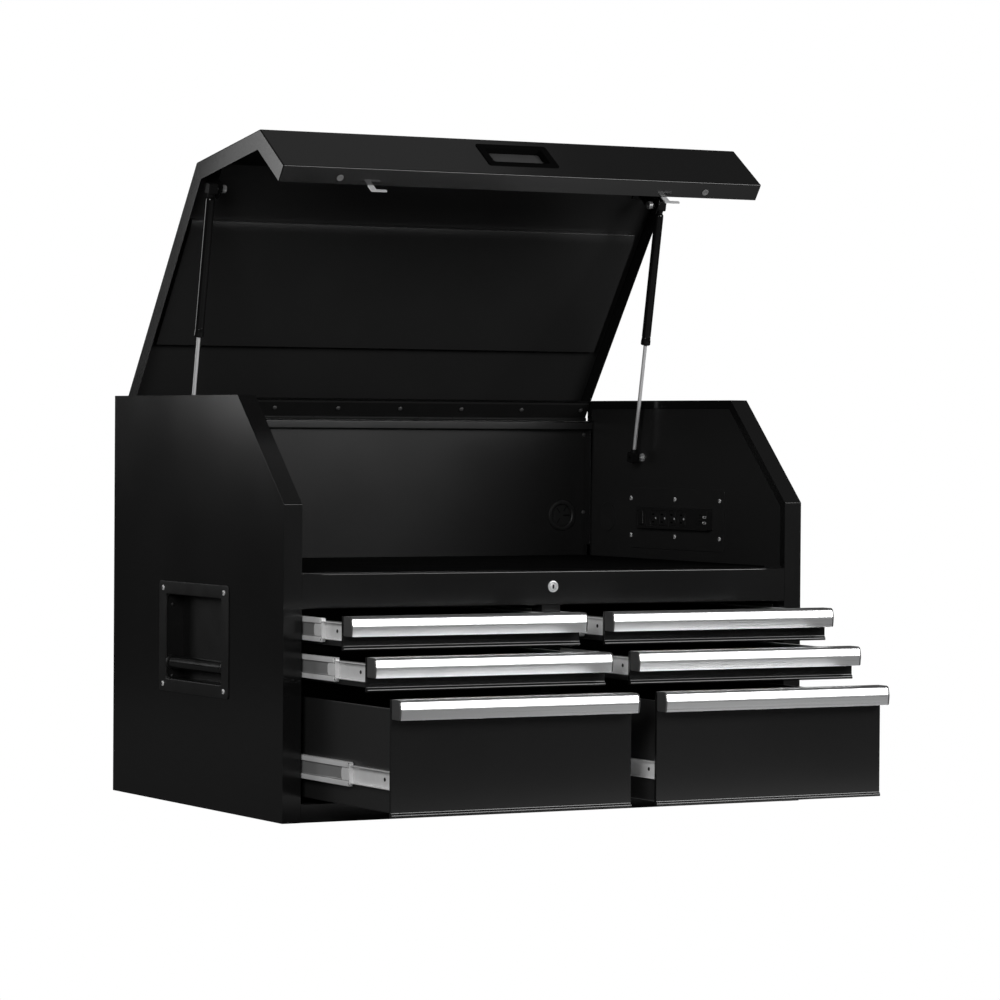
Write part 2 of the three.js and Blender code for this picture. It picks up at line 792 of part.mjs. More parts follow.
function powerStrip() {
  const halfY = (strip.y1 - strip.y0) / 2;
  const halfZ = strip.tall / 2;
  const midZ = railTop + strip.rise + halfZ;
  const outline = roundedRectangle(strip.y0 + halfY, midZ, halfY, halfZ, strip.radius, 3);
  const body = alongX(outline, stripFace, stripBack);
  const well = (y, z, size, recess) => block(
    [stripFace - overrun, stripFace + recess],
    [y - size.halfWidth, y + size.halfWidth],
    [z - size.halfHeight, z + size.halfHeight],
  );
  const cuts = [];
  for (let i = 0; i < outlets.count; i += 1) {
    cuts.push(well(outlets.firstY - i * outlets.pitch, midZ, outlets, outlets.recess));
  }
  const switchY = strip.y1 - switchWell.halfWidth - switchWell.halfHeight / 2;
  cuts.push(well(switchY, midZ, switchWell, switchWell.recess));
  for (const up of [-1, 1]) {
    cuts.push(well(ports.y, midZ + up * ports.pitch / 2, ports, switchWell.recess));
  }
  return body.subtract(join(cuts));
}

part('power_strip_plate', powerPlate(), 'blackCoat');
part('power_strip', powerStrip(), 'blackPlastic');

// Lid shell: top, slope and front in one bent sheet, with side walls and folded edges

const lidOutline = [
  [front, lidBottom],
  [back, lidBottom],
  [back, height],
  [front + slope, height],
  [front, height - slope],
];
const rearFlange = 27;
const pullPlate = { x: 2, rise: 56, halfWidth: 62.5, halfHeight: 30, radius: 4, thickness: 1.4 };
const pullPlateZ = lidBottom + pullPlate.rise;
const pullPocket = { halfWidth: 50, halfHeight: 20, radius: 4, depth: 14, fit: 0.4 };

function lidHook(hand) {
  const x0 = hand * hookX - hook.halfWidth;
  const x1 = hand * hookX + hook.halfWidth;
  const low = lidBottom - hook.drop;
  const outline = [
    [x0, low],
    [x1, low],
    [x1, low + hook.foot],
    [x0 + hook.leg, low + hook.foot],
    [x0 + hook.leg, lidBottom + sheet],
    [x0, lidBottom + sheet],
  ];
  return alongY(outline, front + lidBand - hook.thickness, front + lidBand);
}

function lidShell() {
  const below = [
    [front + lidBand, lidBottom - overrun],
    ...inset(lidOutline, lidBand).slice(3).reverse(),
    [back + overrun, height - lidBand],
    [back + overrun, lidBottom - overrun],
  ];
  const skin = alongX(lidOutline, -lidHalf, lidHalf)
    .subtract(alongX(inset(lidOutline, sheet), -lidHalf + sheet, lidHalf - sheet))
    .subtract(alongX(below, -lidHalf - overrun, lidHalf + overrun));
  const flange = block([-lidHalf, lidHalf], [back - rearFlange, back], [lidFlangeZ, lidFlangeZ + sheet]);
  const trim = block(
    [-lidHalf - overrun, lidHalf + overrun],
    [back - rearFlange - overrun, back + overrun],
    [lidFlangeZ - hingeDrop, lidFlangeZ],
  );
  const opening = alongY(
    roundedRectangle(pullPlate.x, pullPlateZ, pullPocket.halfWidth + sheet + pullPocket.fit,
      pullPocket.halfHeight + sheet + pullPocket.fit, pullPocket.radius + sheet, 3),
    front - overrun,
    front + sheet + overrun,
  );
  return join([skin, flange, lidHook(-1), lidHook(1)]).subtract(trim).subtract(opening);
}

// Stiffening pan under the lid's top: a flat tray with a bent front edge

const pan = { frontY: -46, rearY: 190, sideInset: 17, drop: 10, bend: 18, frontDrop: 6.5 };

function lidLiner() {
  const half = lidHalf - pan.sideInset;
  const topZ = height - sheet - seat;
  const lowZ = topZ - pan.drop;
  const outline = [
    [pan.frontY, topZ],
    [pan.frontY, topZ - pan.frontDrop],
    [pan.frontY + pan.bend, lowZ],
    [pan.rearY, lowZ],
    [pan.rearY, topZ],
  ];
  const hollow = [
    [pan.frontY + sheet, topZ + sheet],
    [pan.frontY + sheet, topZ - pan.frontDrop + sheet],
    [pan.frontY + pan.bend, lowZ + sheet],
    [pan.rearY - sheet, lowZ + sheet],
    [pan.rearY - sheet, topZ + sheet],
  ];
  return alongX(outline, -half, half).subtract(alongX(hollow, -half + sheet, half - sheet));
}

function lidPull() {
  const face = front - seat;
  const plateOutline = roundedRectangle(pullPlate.x, pullPlateZ, pullPlate.halfWidth, pullPlate.halfHeight,
    pullPlate.radius, 3);
  const outer = roundedRectangle(pullPlate.x, pullPlateZ, pullPocket.halfWidth + sheet,
    pullPocket.halfHeight + sheet, pullPocket.radius + sheet, 3);
  const inner = roundedRectangle(pullPlate.x, pullPlateZ, pullPocket.halfWidth, pullPocket.halfHeight,
    pullPocket.radius, 3);
  const flange = alongY(plateOutline, face - pullPlate.thickness, face);
  const tub = alongY(outer, face - pullPlate.thickness / 2, front + pullPocket.depth + sheet);
  const hollow = alongY(inner, face - pullPlate.thickness - overrun, front + pullPocket.depth);
  return flange.add(tub).subtract(hollow);
}

// Rubber buffers under the lid's front lip, which meet the rail when it closes

const buffer = { fromSide: 100, fromFront: 18, radius: 7, height: 1 };

function lidBuffer(hand) {
  const geometry = cylinder(buffer.radius, buffer.height, 16);
  geometry.rotateX(Math.PI / 2);
  geometry.translate(hand * (lidHalf - buffer.fromSide), front + buffer.fromFront, lidBottom - seat - buffer.height / 2);
  return solid(geometry);
}

// Upper strut studs: each stands on an angle bracket under the lid's top, with its nut on the inboard side

const stud = { nutRadius: 7.5, nut: 3, neckRadius: 4.5, neck: 2.2 };
const bracket = { halfWidth: 15, below: 12, thickness: 1.6, foot: 20, corner: 6 };

function lidStud(hand) {
  const neckEnd = strutX - socketWidth / 2 - seat;
  const face = neckEnd - stud.neck;
  const inboard = face - bracket.thickness;
  const top = height - sheet - seat;
  const low = strutHighZ - bracket.below;
  const outline = [
    [strutHighY - bracket.halfWidth + bracket.corner, low],
    [strutHighY + bracket.halfWidth - bracket.corner, low],
    [strutHighY + bracket.halfWidth, low + bracket.corner],
    [strutHighY + bracket.halfWidth, top],
    [strutHighY - bracket.halfWidth, top],
    [strutHighY - bracket.halfWidth, low + bracket.corner],
  ];
  const web = alongX(outline, hand * inboard, hand * face);
  const foot = block(
    [hand * (face - bracket.foot), hand * face],
    [strutHighY - bracket.halfWidth, strutHighY + bracket.halfWidth],
    [top - bracket.thickness, top],
  );
  const neck = rodX(stud.neckRadius, hand * (face - bracket.thickness / 2), hand * neckEnd,
    strutHighY, strutHighZ, 16);
  const nut = rodX(stud.nutRadius, hand * (face - bracket.thickness / 2), hand * (inboard - stud.nut),
    strutHighY, strutHighZ, 6);
  return join([web, foot, neck, nut]);
}

part('lid_shell', lidShell(), 'blackCoat', lidGroup);
part('lid_liner', lidLiner(), 'blackCoat', lidGroup);
part('lid_pull', lidPull(), 'blackPlastic', lidGroup);
for (const [name, hand] of hands) {
  part(`${name}_lid_buffer`, lidBuffer(hand), 'rubber', lidGroup);
  part(`${name}_lid_stud`, lidStud(hand), 'zinc', lidGroup);
}

// Piano hinge: two leaves whose knuckles take turns round one pin

const knucklePitch = 2 * lidHalf / hingeKnuckles;
const leafEdge = Math.sqrt(knuckleRadius ** 2 - (knuckleRadius - sheet) ** 2) + seat;

function hingeLeaf(first, leafLow) {
  const knuckles = [];
  for (let i = first; i < hingeKnuckles; i += 2) {
    const x0 = -lidHalf + i * knucklePitch + seat;
    const x1 = x0 + knucklePitch - 2 * seat;
    const tube = rodX(knuckleRadius, x0, x1, hingeY, hingeZ, 12);
    const tongue = block([x0, x1], [back, hingeY], [leafLow, leafLow + sheet]);
    knuckles.push(tube.add(tongue));
  }
  const leaf = block(
    [-lidHalf, lidHalf],
    [hingeY - hingeBehind - hingeLeafWidth, hingeY - leafEdge],
    [leafLow, leafLow + sheet],
  );
  const bore = rodX(hingePinRadius + seat, -side, side, hingeY, hingeZ, 12);
  return join([leaf, ...knuckles]).subtract(bore);
}

part('hinge_cabinet_leaf', hingeLeaf(0, leafTop), 'blackCoat');
part('hinge_lid_leaf', hingeLeaf(1, hingeZ + knuckleRadius - sheet), 'blackCoat', lidGroup);
part('hinge_pin', rodX(hingePinRadius, -lidHalf, lidHalf, hingeY, hingeZ, 12), 'zinc');

// Gas struts: each is drawn upright from its lower pivot, then leaned to the open lid

const studOffset = new THREE.Vector2(strutHighY - hingeY, strutHighZ - hingeZ).rotateAround(
  new THREE.Vector2(0, 0),
  -lidOpen,
);
const highY = hingeY + studOffset.x;
const highZ = hingeZ + studOffset.y;
const strutLength = Math.hypot(highY - strutLowY, highZ - strutLowZ);
const strutLean = Math.atan2(strutLowY - highY, highZ - strutLowZ);
const gland = { radius: 8, height: 9 };
const pistonDepth = 21;
const cylinderLow = strutLength - socketNeck + sheet - cylinderLength;

function socket(z, towards, neckRadius) {
  const barrel = rodX(socketRadius, -socketWidth / 2, socketWidth / 2, 0, z, 16);
  const neck = rodZ(neckRadius, z, z + towards * socketNeck, 12);
  return barrel.add(neck);
}

function strutRod() {
  const body = socket(0, 1, rodRadius * 2).add(rodZ(rodRadius, socketNeck / 2, cylinderLow + pistonDepth, 12));
  return body.subtract(rodX(rodRadius + seat, -socketWidth, socketWidth, 0, 0, 12));
}

function strutCylinder() {
  const tube = rodZ(cylinderRadius, cylinderLow, cylinderLow + cylinderLength, 20);
  const collar = rodZ(gland.radius, cylinderLow, cylinderLow + gland.height, 20);
  const bore = rodZ(rodRadius + seat, cylinderLow - overrun, strutLength - socketNeck - sheet, 16);
  return join([tube.add(collar).subtract(bore), socket(strutLength, -1, cylinderRadius - sheet)]);
}

for (const [name, hand] of hands) {
  const strutGroup = new THREE.Group();
  strutGroup.position.set(hand * strutX, strutLowY, strutLowZ);
  strutGroup.rotation.x = strutLean;
  chest.add(strutGroup);
  part(`${name}_strut_rod`, strutRod(), 'zinc', strutGroup);
  part(`${name}_strut_cylinder`, strutCylinder(), 'blackEnamel', strutGroup);
}

export default chest;
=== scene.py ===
import json
import math

import bmesh
import bpy
from mathutils import Matrix, Vector
from mathutils.geometry import intersect_point_line


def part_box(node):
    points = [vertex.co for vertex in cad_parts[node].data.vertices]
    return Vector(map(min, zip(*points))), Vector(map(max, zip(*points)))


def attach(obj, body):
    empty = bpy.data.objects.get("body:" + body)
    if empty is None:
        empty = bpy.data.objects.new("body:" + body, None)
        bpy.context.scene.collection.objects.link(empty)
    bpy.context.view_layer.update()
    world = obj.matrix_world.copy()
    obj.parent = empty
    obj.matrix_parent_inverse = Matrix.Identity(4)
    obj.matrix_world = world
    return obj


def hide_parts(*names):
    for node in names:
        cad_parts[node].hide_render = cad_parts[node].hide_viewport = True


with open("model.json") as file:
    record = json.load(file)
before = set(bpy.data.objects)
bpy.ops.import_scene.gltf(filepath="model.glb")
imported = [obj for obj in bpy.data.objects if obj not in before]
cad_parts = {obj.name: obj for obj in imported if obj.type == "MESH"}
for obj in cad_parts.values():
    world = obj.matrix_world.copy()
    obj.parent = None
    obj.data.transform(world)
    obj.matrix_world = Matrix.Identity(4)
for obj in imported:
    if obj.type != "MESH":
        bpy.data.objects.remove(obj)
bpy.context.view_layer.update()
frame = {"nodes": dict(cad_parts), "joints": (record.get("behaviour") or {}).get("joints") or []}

# Looks for a two-column tool chest. Metres, +X right, -Y front, +Z up.

mm = 0.001
nodes = frame["nodes"]
scene = bpy.context.scene
columns = (("left", -1), ("right", 1))
rowNames = ("top", "middle", "bottom")

# Camera, at the photograph's viewing angle
cameraSetup = {
    "place": (-3.10968, -5.72785, 0.58932),
    "yaw": -29.129,
    "pitch": -1.013,
    "roll": -0.402,
    "lens": 146.49,
    "sensor": 36.0,
    "farClip": 60.0,
}


def addCamera(setup):
    data = bpy.data.cameras.new("camera")
    data.lens = setup["lens"]
    data.sensor_width = setup["sensor"]
    data.clip_end = setup["farClip"]
    camera = bpy.data.objects.new("camera", data)
    scene.collection.objects.link(camera)
    level = Matrix(((1, 0, 0), (0, 0, -1), (0, 1, 0)))  # looks along +Y
    turn = Matrix.Rotation(math.radians(setup["yaw"]), 3, "Z")
    turn = turn @ Matrix.Rotation(math.radians(setup["pitch"]), 3, "X")
    turn = turn @ Matrix.Rotation(math.radians(setup["roll"]), 3, "Y")
    camera.matrix_world = Matrix.Translation(setup["place"]) @ (turn @ level).to_4x4()
    scene.camera = camera


addCamera(cameraSetup)
print("camera placed")


# Materials. Every pattern reads Object coordinates, in metres
def newMaterial(name, color, roughness, metallic=0.0, specular=0.5):
    material = bpy.data.materials.new(name)
    material.use_nodes = True
    tree = material.node_tree
    shader = tree.nodes["Principled BSDF"]
    shader.inputs["Base Color"].default_value = (*color, 1)
    shader.inputs["Roughness"].default_value = roughness
    shader.inputs["Metallic"].default_value = metallic
    shader.inputs["Specular IOR Level"].default_value = specular
    material.diffuse_color = (*color, 1)
    return material, tree, shader


def noise(tree, scale, detail=2.0, stretch=(1, 1, 1)):
    place = tree.nodes.new("ShaderNodeTexCoord")
    mapping = tree.nodes.new("ShaderNodeMapping")
    mapping.inputs["Scale"].default_value = stretch
    texture = tree.nodes.new("ShaderNodeTexNoise")
    texture.inputs["Scale"].default_value = scale
    texture.inputs["Detail"].default_value = detail
    tree.links.new(place.outputs["Object"], mapping.inputs["Vector"])
    tree.links.new(mapping.outputs["Vector"], texture.inputs["Vector"])
    return texture.outputs["Fac"]


def ranged(tree, source, low, high, toLow, toHigh):
    node = tree.nodes.new("ShaderNodeMapRange")
    node.inputs["From Min"].default_value = low
    node.inputs["From Max"].default_value = high
    node.inputs["To Min"].default_value = toLow
    node.inputs["To Max"].default_value = toHigh
    tree.links.new(source, node.inputs["Value"])
    return node.outputs["Result"]


patchSpan = (0.3, 0.7)  # the part of a noise's range that its patches use
bumpStrength = 0.5


def tint(tree, source, dark, light, socket):
    ramp = tree.nodes.new("ShaderNodeValToRGB")
    for element, position, color in zip(ramp.color_ramp.elements, patchSpan, (dark, light)):
        element.position = position
        element.color = (*color, 1)
    tree.links.new(source, ramp.inputs["Fac"])
    tree.links.new(ramp.outputs["Color"], socket)


def bump(tree, shader, source, height):
    node = tree.nodes.new("ShaderNodeBump")
    node.inputs["Strength"].default_value = bumpStrength
    node.inputs["Distance"].default_value = height
    tree.links.new(source, node.inputs["Height"])
    tree.links.new(node.outputs["Normal"], shader.inputs["Normal"])


def finish(name, color, rough, metallic, patches, grain, grainHeight, contrast=0.1, specular=0.5):
    # rough is (low, high); patches and grain are (scale, detail, stretch)
    material, tree, shader = newMaterial(name, color, rough[0], metallic, specular)
    patch = noise(tree, *patches)
    tree.links.new(ranged(tree, patch, *patchSpan, *rough), shader.inputs["Roughness"])
    dark = tuple(c * (1 - contrast) for c in color)
    tint(tree, patch, dark, color, shader.inputs["Base Color"])
    bump(tree, shader, noise(tree, *grain), grainHeight)
    return material


def grey(value):
    return (value, value, value)


even = (1, 1, 1)
lengthways = (0.03, 9, 9)
upAndDown = (9, 9, 0.1)
broad = (5, 3, even)
medium = (30, 2, even)
small = (60, 3, even)
orangePeel = (650, 2, even)
fine = (900, 2, even)
moulded = (2200, 3, even)
blackCoat = finish("black_powder_coat", grey(0.008), (0.16, 0.20), 0, broad, orangePeel, 0.02 * mm)
# painted light: a lighter, rougher copy of the black powder coat, whose extra brightness stands in
# for light on the inside faces
litInsideCoat = finish("inner_powder_coat", grey(0.022), (0.28, 0.31), 0, (6, 3, even), orangePeel,
                    0.02 * mm)
# painted light: a lighter copy of the black coat for the back wall, standing in for light falling
# on it
litWallCoat = finish("back_powder_coat", grey(0.014), (0.21, 0.235), 0, broad, orangePeel, 0.02 * mm)
# painted shade: a copy of the black coat that reflects almost nothing, so the hinge and strut
# sockets show no highlights from the lamps
dullHingeCoat = finish("hinge_coat", grey(0.012), (0.36, 0.42), 0, medium, fine, 0.02 * mm,
                   specular=0.06)
tubeEnamel = finish("strut_enamel", grey(0.006), (0.07, 0.1), 0, (40, 2, even), fine, 0.01 * mm)
# painted shade: a dull copy of the black coat, reflecting little, for upward faces where the gloss
# coat would mirror a softbox when the lid is shut
dullTopCoat = finish("lid_top_coat", grey(0.008), (0.48, 0.54), 0, broad, orangePeel, 0.02 * mm,
                 specular=0.12)
enamel = finish("black_gloss_enamel", grey(0.007), (0.16, 0.22), 0, (40, 2, even), fine, 0.02 * mm)
plastic = finish("black_moulded_plastic", grey(0.012), (0.38, 0.48), 0, medium, moulded, 0.05 * mm)
handlePlastic = finish("handle_plastic", grey(0.009), (0.34, 0.4), 0, medium, moulded, 0.05 * mm,
                       specular=0.36)
capPlastic = finish("dark_grey_plastic", grey(0.06), (0.42, 0.52), 0, (60, 2, even),
                    (2500, 3, even), 0.05 * mm)
stopPlastic = finish("pale_nylon", grey(0.9), (0.34, 0.42), 0, (80, 2, even), (1200, 2, even),
                     0.03 * mm)
paleRubber = finish("pale_rubber", grey(0.2), (0.5, 0.62), 0, (90, 2, even), (1600, 3, even),
                    0.05 * mm)
matRubber = finish("black_floor_mat", grey(0.003), (0.8, 0.95), 0, (12, 3, even), (420, 3, even),
                   0.2 * mm, specular=0.03)
aluminium = finish("satin_aluminium", (0.88, 0.885, 0.89), (0.27, 0.3), 1, (60, 4, lengthways),
                   (400, 4, lengthways), 0.0006 * mm, 0.03)
zinc = finish("bright_zinc", (0.86, 0.865, 0.87), (0.34, 0.4), 0.45, small, fine, 0.002 * mm)
slideZinc = finish("slide_zinc", grey(0.93), (0.3, 0.36), 0.1, small, fine, 0.002 * mm, 0.06)
# painted shade: a darker copy of the slide zinc for the recessed webs between the races; the outer
# members and the strut nuts use it too
slideShade = finish("slide_web", grey(0.42), (0.3, 0.36), 0.4, small, fine, 0.002 * mm, 0.06)
# chrome, with a white non-metal share standing in for the studio light it would mirror: painted
# sheen
chrome = finish("polished_chrome", (0.9, 0.905, 0.91), (0.16, 0.22), 0.4, (120, 2, even), fine,
                0.004 * mm)
# steel rod, with a white non-metal share standing in for the studio light it would mirror: painted
# sheen
steelRod = finish("polished_rod", (0.9, 0.9, 0.91), (0.2, 0.25), 0.35, (60, 3, upAndDown),
                  (90, 3, upAndDown), 0.004 * mm)
# painted shadow: near black for the dark inside key slots, screw recesses, holes and slits
keyway = finish("keyway_shadow", grey(0.02), (0.5, 0.6), 1, (200, 2, even), fine, 0.01 * mm)
print("materials made")


# Mesh helpers
foldAngle = math.radians(20)  # an edge that turns more than this is a fold
cutAngle = math.radians(60)  # and more than this a cut edge


def inMetres(value):
    if isinstance(value, dict):
        return {name: inMetres(size) for name, size in value.items()}
    if isinstance(value, (list, tuple)):
        return tuple(inMetres(item) for item in value)
    return value * mm


def metres(**sizes):
    # for sizes written in millimetres
    return inMetres(sizes)


def addPiece(name, bm, material, body, replaced=(), sharp=32):
    bmesh.ops.remove_doubles(bm, verts=bm.verts, dist=0.005 * mm)
    bmesh.ops.recalc_face_normals(bm, faces=bm.faces)
    mesh = bpy.data.meshes.new(name)
    bm.to_mesh(mesh)
    bm.free()
    mesh.shade_smooth()
    mesh.set_sharp_from_angle(angle=math.radians(sharp))
    mesh.materials.append(material)
    piece = bpy.data.objects.new(name, mesh)
    scene.collection.objects.link(piece)
    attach(piece, body)
    if replaced:
        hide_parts(*replaced)
    normals = piece.modifiers.new("normals", "WEIGHTED_NORMAL")
    normals.keep_sharp = True
    return piece


def merged(parts):
    whole = bmesh.new()
    for part in parts:
        held = bpy.data.meshes.new("held")
        bmesh.ops.recalc_face_normals(part, faces=part.faces)
        part.to_mesh(held)
        part.free()
        whole.from_mesh(held)
        bpy.data.meshes.remove(held)
    return whole


def cadCopy(node, turn=None):
    bm = bmesh.new()
    bm.from_mesh(nodes[node].data)
    if turn:
        bm.transform(turn)
    bmesh.ops.remove_doubles(bm, verts=bm.verts, dist=0.03 * mm)
    bmesh.ops.dissolve_limit(bm, angle_limit=math.radians(0.5), verts=bm.verts, edges=bm.edges)
    return bm


def cutAway(bm, point, normal):
    # removes what lies on the normal's side of a plane and closes the cut
    everything = bm.verts[:] + bm.edges[:] + bm.faces[:]
    cut = bmesh.ops.bisect_plane(bm, geom=everything, dist=0.001 * mm, plane_co=point,
                                 plane_no=normal, clear_outer=True)
    rim = [g for g in cut["geom_cut"] if isinstance(g, bmesh.types.BMEdge)]
    bmesh.ops.triangle_fill(bm, edges=rim, use_dissolve=True)


def bevelEdges(bm, edges, width, segments=3, clamp=True):
    if edges:
        bmesh.ops.bevel(bm, geom=edges, offset=width, offset_type="OFFSET", affect="EDGES",
                        segments=segments, profile=0.5, clamp_overlap=clamp, material=-1)


def turns(edge, angle):
    return len(edge.link_faces) == 2 and edge.calc_face_angle(0) > angle


def besideHollow(edge, hollows, reach):
    # a fold of a sheet has its inner edge one thickness behind it
    middle = (edge.verts[0].co + edge.verts[1].co) / 2
    line = (edge.verts[1].co - edge.verts[0].co).normalized()
    for start, end in hollows:
        if abs((end - start).normalized().dot(line)) > 0.999:
            near, share = intersect_point_line(middle, start, end)
            if (near - middle).length < reach and 0 < share < 1:
                return True
    return False


def easeFolds(bm, foldWidth=1.8 * mm, cutWidth=0.25 * mm, clamp=False, crossWidth=None):
    # rounds the folds of a sheet widely, those along x by crossWidth, then its cut edges narrowly
    bmesh.ops.recalc_face_normals(bm, faces=bm.faces)
    sharp = [e for e in bm.edges if turns(e, foldAngle)]
    hollows = [tuple(v.co.copy() for v in e.verts) for e in sharp if not e.is_convex]
    folds = [e for e in sharp if e.is_convex and besideHollow(e, hollows, 1.8 * mm)]
    across = [e for e in folds if crossWidth
              and abs(e.verts[0].co.x - e.verts[1].co.x) > 0.9 * e.calc_length()]
    bevelEdges(bm, across, crossWidth, 2, clamp)
    bevelEdges(bm, [e for e in folds if e.is_valid and e not in across], foldWidth, 4, clamp)
    cuts = [e for e in bm.edges if turns(e, cutAngle) and e.is_convex]
    bevelEdges(bm, cuts, cutWidth, 2, clamp)
    return bm


def placing(point, normal, up=(0, 0, 1)):
    # local x runs to the right of up, y along up and z along the normal
    out = Vector(normal).normalized()
    if abs(out.dot(Vector(up))) > 0.999:
        up = (0, 1, 0)
    right = Vector(up).cross(out).normalized()
    matrix = Matrix((right, out.cross(right), out)).transposed().to_4x4()
    matrix.translation = point
    return matrix


def roundedFace(bm, halfWide, halfTall, radius, segments, height=0.0):
    earlier = set(bm.faces)
    corners = bmesh.ops.create_grid(bm, x_segments=1, y_segments=1, size=1)["verts"]
    bmesh.ops.scale(bm, vec=(halfWide, halfTall, 1), verts=corners)
    bmesh.ops.translate(bm, vec=(0, 0, height), verts=corners)
    bmesh.ops.bevel(bm, geom=corners, offset=radius, affect="VERTICES", segments=segments,
                    profile=0.5, clamp_overlap=True, material=-1)
    return [f for f in bm.faces if f not in earlier]


def plate(halfWide, halfTall, radius, steps, point, normal, up=(0, 0, 1), segments=5):
    # a rounded plate whose face is drawn in and lifted step by step, each step (drawIn, lift)
    bm = bmesh.new()
    roundedFace(bm, halfWide, halfTall, radius, segments)
    base = bm.faces[:]
    made = bmesh.ops.extrude_face_region(bm, geom=base, use_keep_orig=True)
    face = [g for g in made["geom"] if isinstance(g, bmesh.types.BMFace)]
    bmesh.ops.translate(bm, vec=(0, 0, steps[0][1]), verts=face[0].verts[:])
    for drawIn, lift in steps[1:]:
        bmesh.ops.inset_individual(bm, faces=face, thickness=drawIn, depth=lift,
                                   use_even_offset=True)
    bm.transform(placing(point, normal, up))
    return bm


def turned(profile, point, axis, sides=32, up=(0, 0, 1)):
    # profile points are (radius, height along the axis); ends on the axis close the shape
    bm = bmesh.new()
    line = [bm.verts.new((radius, 0, height)) for radius, height in profile]
    edges = [bm.edges.new(pair) for pair in zip(line, line[1:])]
    bmesh.ops.spin(bm, geom=line + edges, cent=(0, 0, 0), axis=(0, 0, 1), angle=math.tau,
                   steps=sides, use_merge=True, use_duplicate=False)
    bmesh.ops.remove_doubles(bm, verts=bm.verts, dist=0.002 * mm)
    bm.transform(placing(point, axis, up))
    return bm


def sheetRun(outline, length, thickness, radius, right, up, start, segments=3):
    # an open outline of (right, up) points, drawn out along right x up and given its thickness
    bm = bmesh.new()
    line = [bm.verts.new((a, b, 0)) for a, b in outline]
    edges = [bm.edges.new(pair) for pair in zip(line, line[1:])]
    made = bmesh.ops.extrude_edge_only(bm, edges=edges)["geom"]
    moved = [g for g in made if isinstance(g, bmesh.types.BMVert)]
    bmesh.ops.translate(bm, vec=(0, 0, length), verts=moved)
    folds = [edge for edge in bm.edges if len(edge.link_faces) == 2]
    bevelEdges(bm, folds, radius, segments)
    bmesh.ops.recalc_face_normals(bm, faces=bm.faces)
    bmesh.ops.solidify(bm, geom=bm.faces[:], thickness=thickness)
    return stand(bm, right, up, start)


def solidRun(outline, length, radius, right, up, start, segments=3, ends=0.0):
    # a closed outline drawn out along right x up, its long edges rounded
    bm = bmesh.new()
    base = [bm.faces.new([bm.verts.new((a, b, 0)) for a, b in outline])]
    made = bmesh.ops.extrude_face_region(bm, geom=base, use_keep_orig=True)["geom"]
    moved = [g for g in made if isinstance(g, bmesh.types.BMVert)]
    bmesh.ops.translate(bm, vec=(0, 0, length), verts=moved)
    bmesh.ops.recalc_face_normals(bm, faces=bm.faces)
    along = [e for e in bm.edges if abs(e.verts[0].co.z - e.verts[1].co.z) > length / 2]
    bevelEdges(bm, along, radius, segments)
    if ends:
        bevelEdges(bm, [e for e in bm.edges if turns(e, cutAngle)], ends, 2)
    return stand(bm, right, up, start)


def stand(bm, right, up, start):
    directions = (Vector(right), Vector(up), Vector(right).cross(Vector(up)))
    matrix = Matrix(directions).transposed().to_4x4()
    matrix.translation = start
    bm.transform(matrix)
    return bm


def box(low, high, radius=0.0, segments=3):
    bm = bmesh.new()
    bmesh.ops.create_cube(bm, size=1)
    size = [b - a for a, b in zip(low, high)]
    middle = [(a + b) / 2 for a, b in zip(low, high)]
    bmesh.ops.scale(bm, vec=size, verts=bm.verts)
    bmesh.ops.translate(bm, vec=middle, verts=bm.verts)
    if radius:
        bevelEdges(bm, bm.edges[:], radius, segments)
    return bm


screwHead = metres(radius=4.6, height=2.1, recess=2.4, recessDepth=1.0)


def screw(point, axis, scale=1.0):
    # a pan head, its cross recess drawn as thin raised bars that screwSet paints dark: painted
    # shadow
    head = {key: value * scale for key, value in screwHead.items()}
    rim = 0.35  # share of the height below the dome
    dome = [(head["radius"], 0), (head["radius"], head["height"] * rim)]
    for share in (0.75, 0.5, 0.25):
        rise = head["height"] * (rim + (1 - rim) * math.cos(share * math.pi / 2))
        dome.append((head["radius"] * math.sin(share * math.pi / 2), rise))
    body = turned([(0, 0)] + dome + [(0, head["height"])], point, axis, 18)
    slots = []
    for quarter in (0, 1):
        half = Vector((head["recess"], head["recess"] * 0.2, head["recessDepth"] * 0.2))
        arm = box(-half, half)
        turn = Matrix.Rotation(quarter * math.pi / 2 + 0.5, 3, "Z")
        bmesh.ops.rotate(arm, matrix=turn, verts=arm.verts)
        bmesh.ops.translate(arm, vec=(0, 0, head["height"] + 0.02 * mm), verts=arm.verts)
        arm.transform(placing(point, axis))
        slots.append(arm)
    return body, slots


def barProfile(radius, length, ease):
    return [(0, 0), (radius - ease, 0), (radius, ease), (radius, length - ease),
            (radius - ease, length), (0, length)]


def rivet(point, axis, radius, height, sides=16):
    profile = [(0, 0), (radius, 0), (radius, height * 0.3), (radius * 0.8, height * 0.75),
               (radius * 0.45, height), (0, height)]
    return turned(profile, point, axis, sides)


def shadeFaces(piece, material, chosen):
    piece.data.materials.append(material)
    for face in piece.data.polygons:
        if chosen(face):
            face.material_index = len(piece.data.materials) - 1


def addSheet(name, node, coat, body="cabinet", **widths):
    sheet = easeFolds(cadCopy(node), **widths)
    return addPiece(name, sheet, coat, body, (node,))


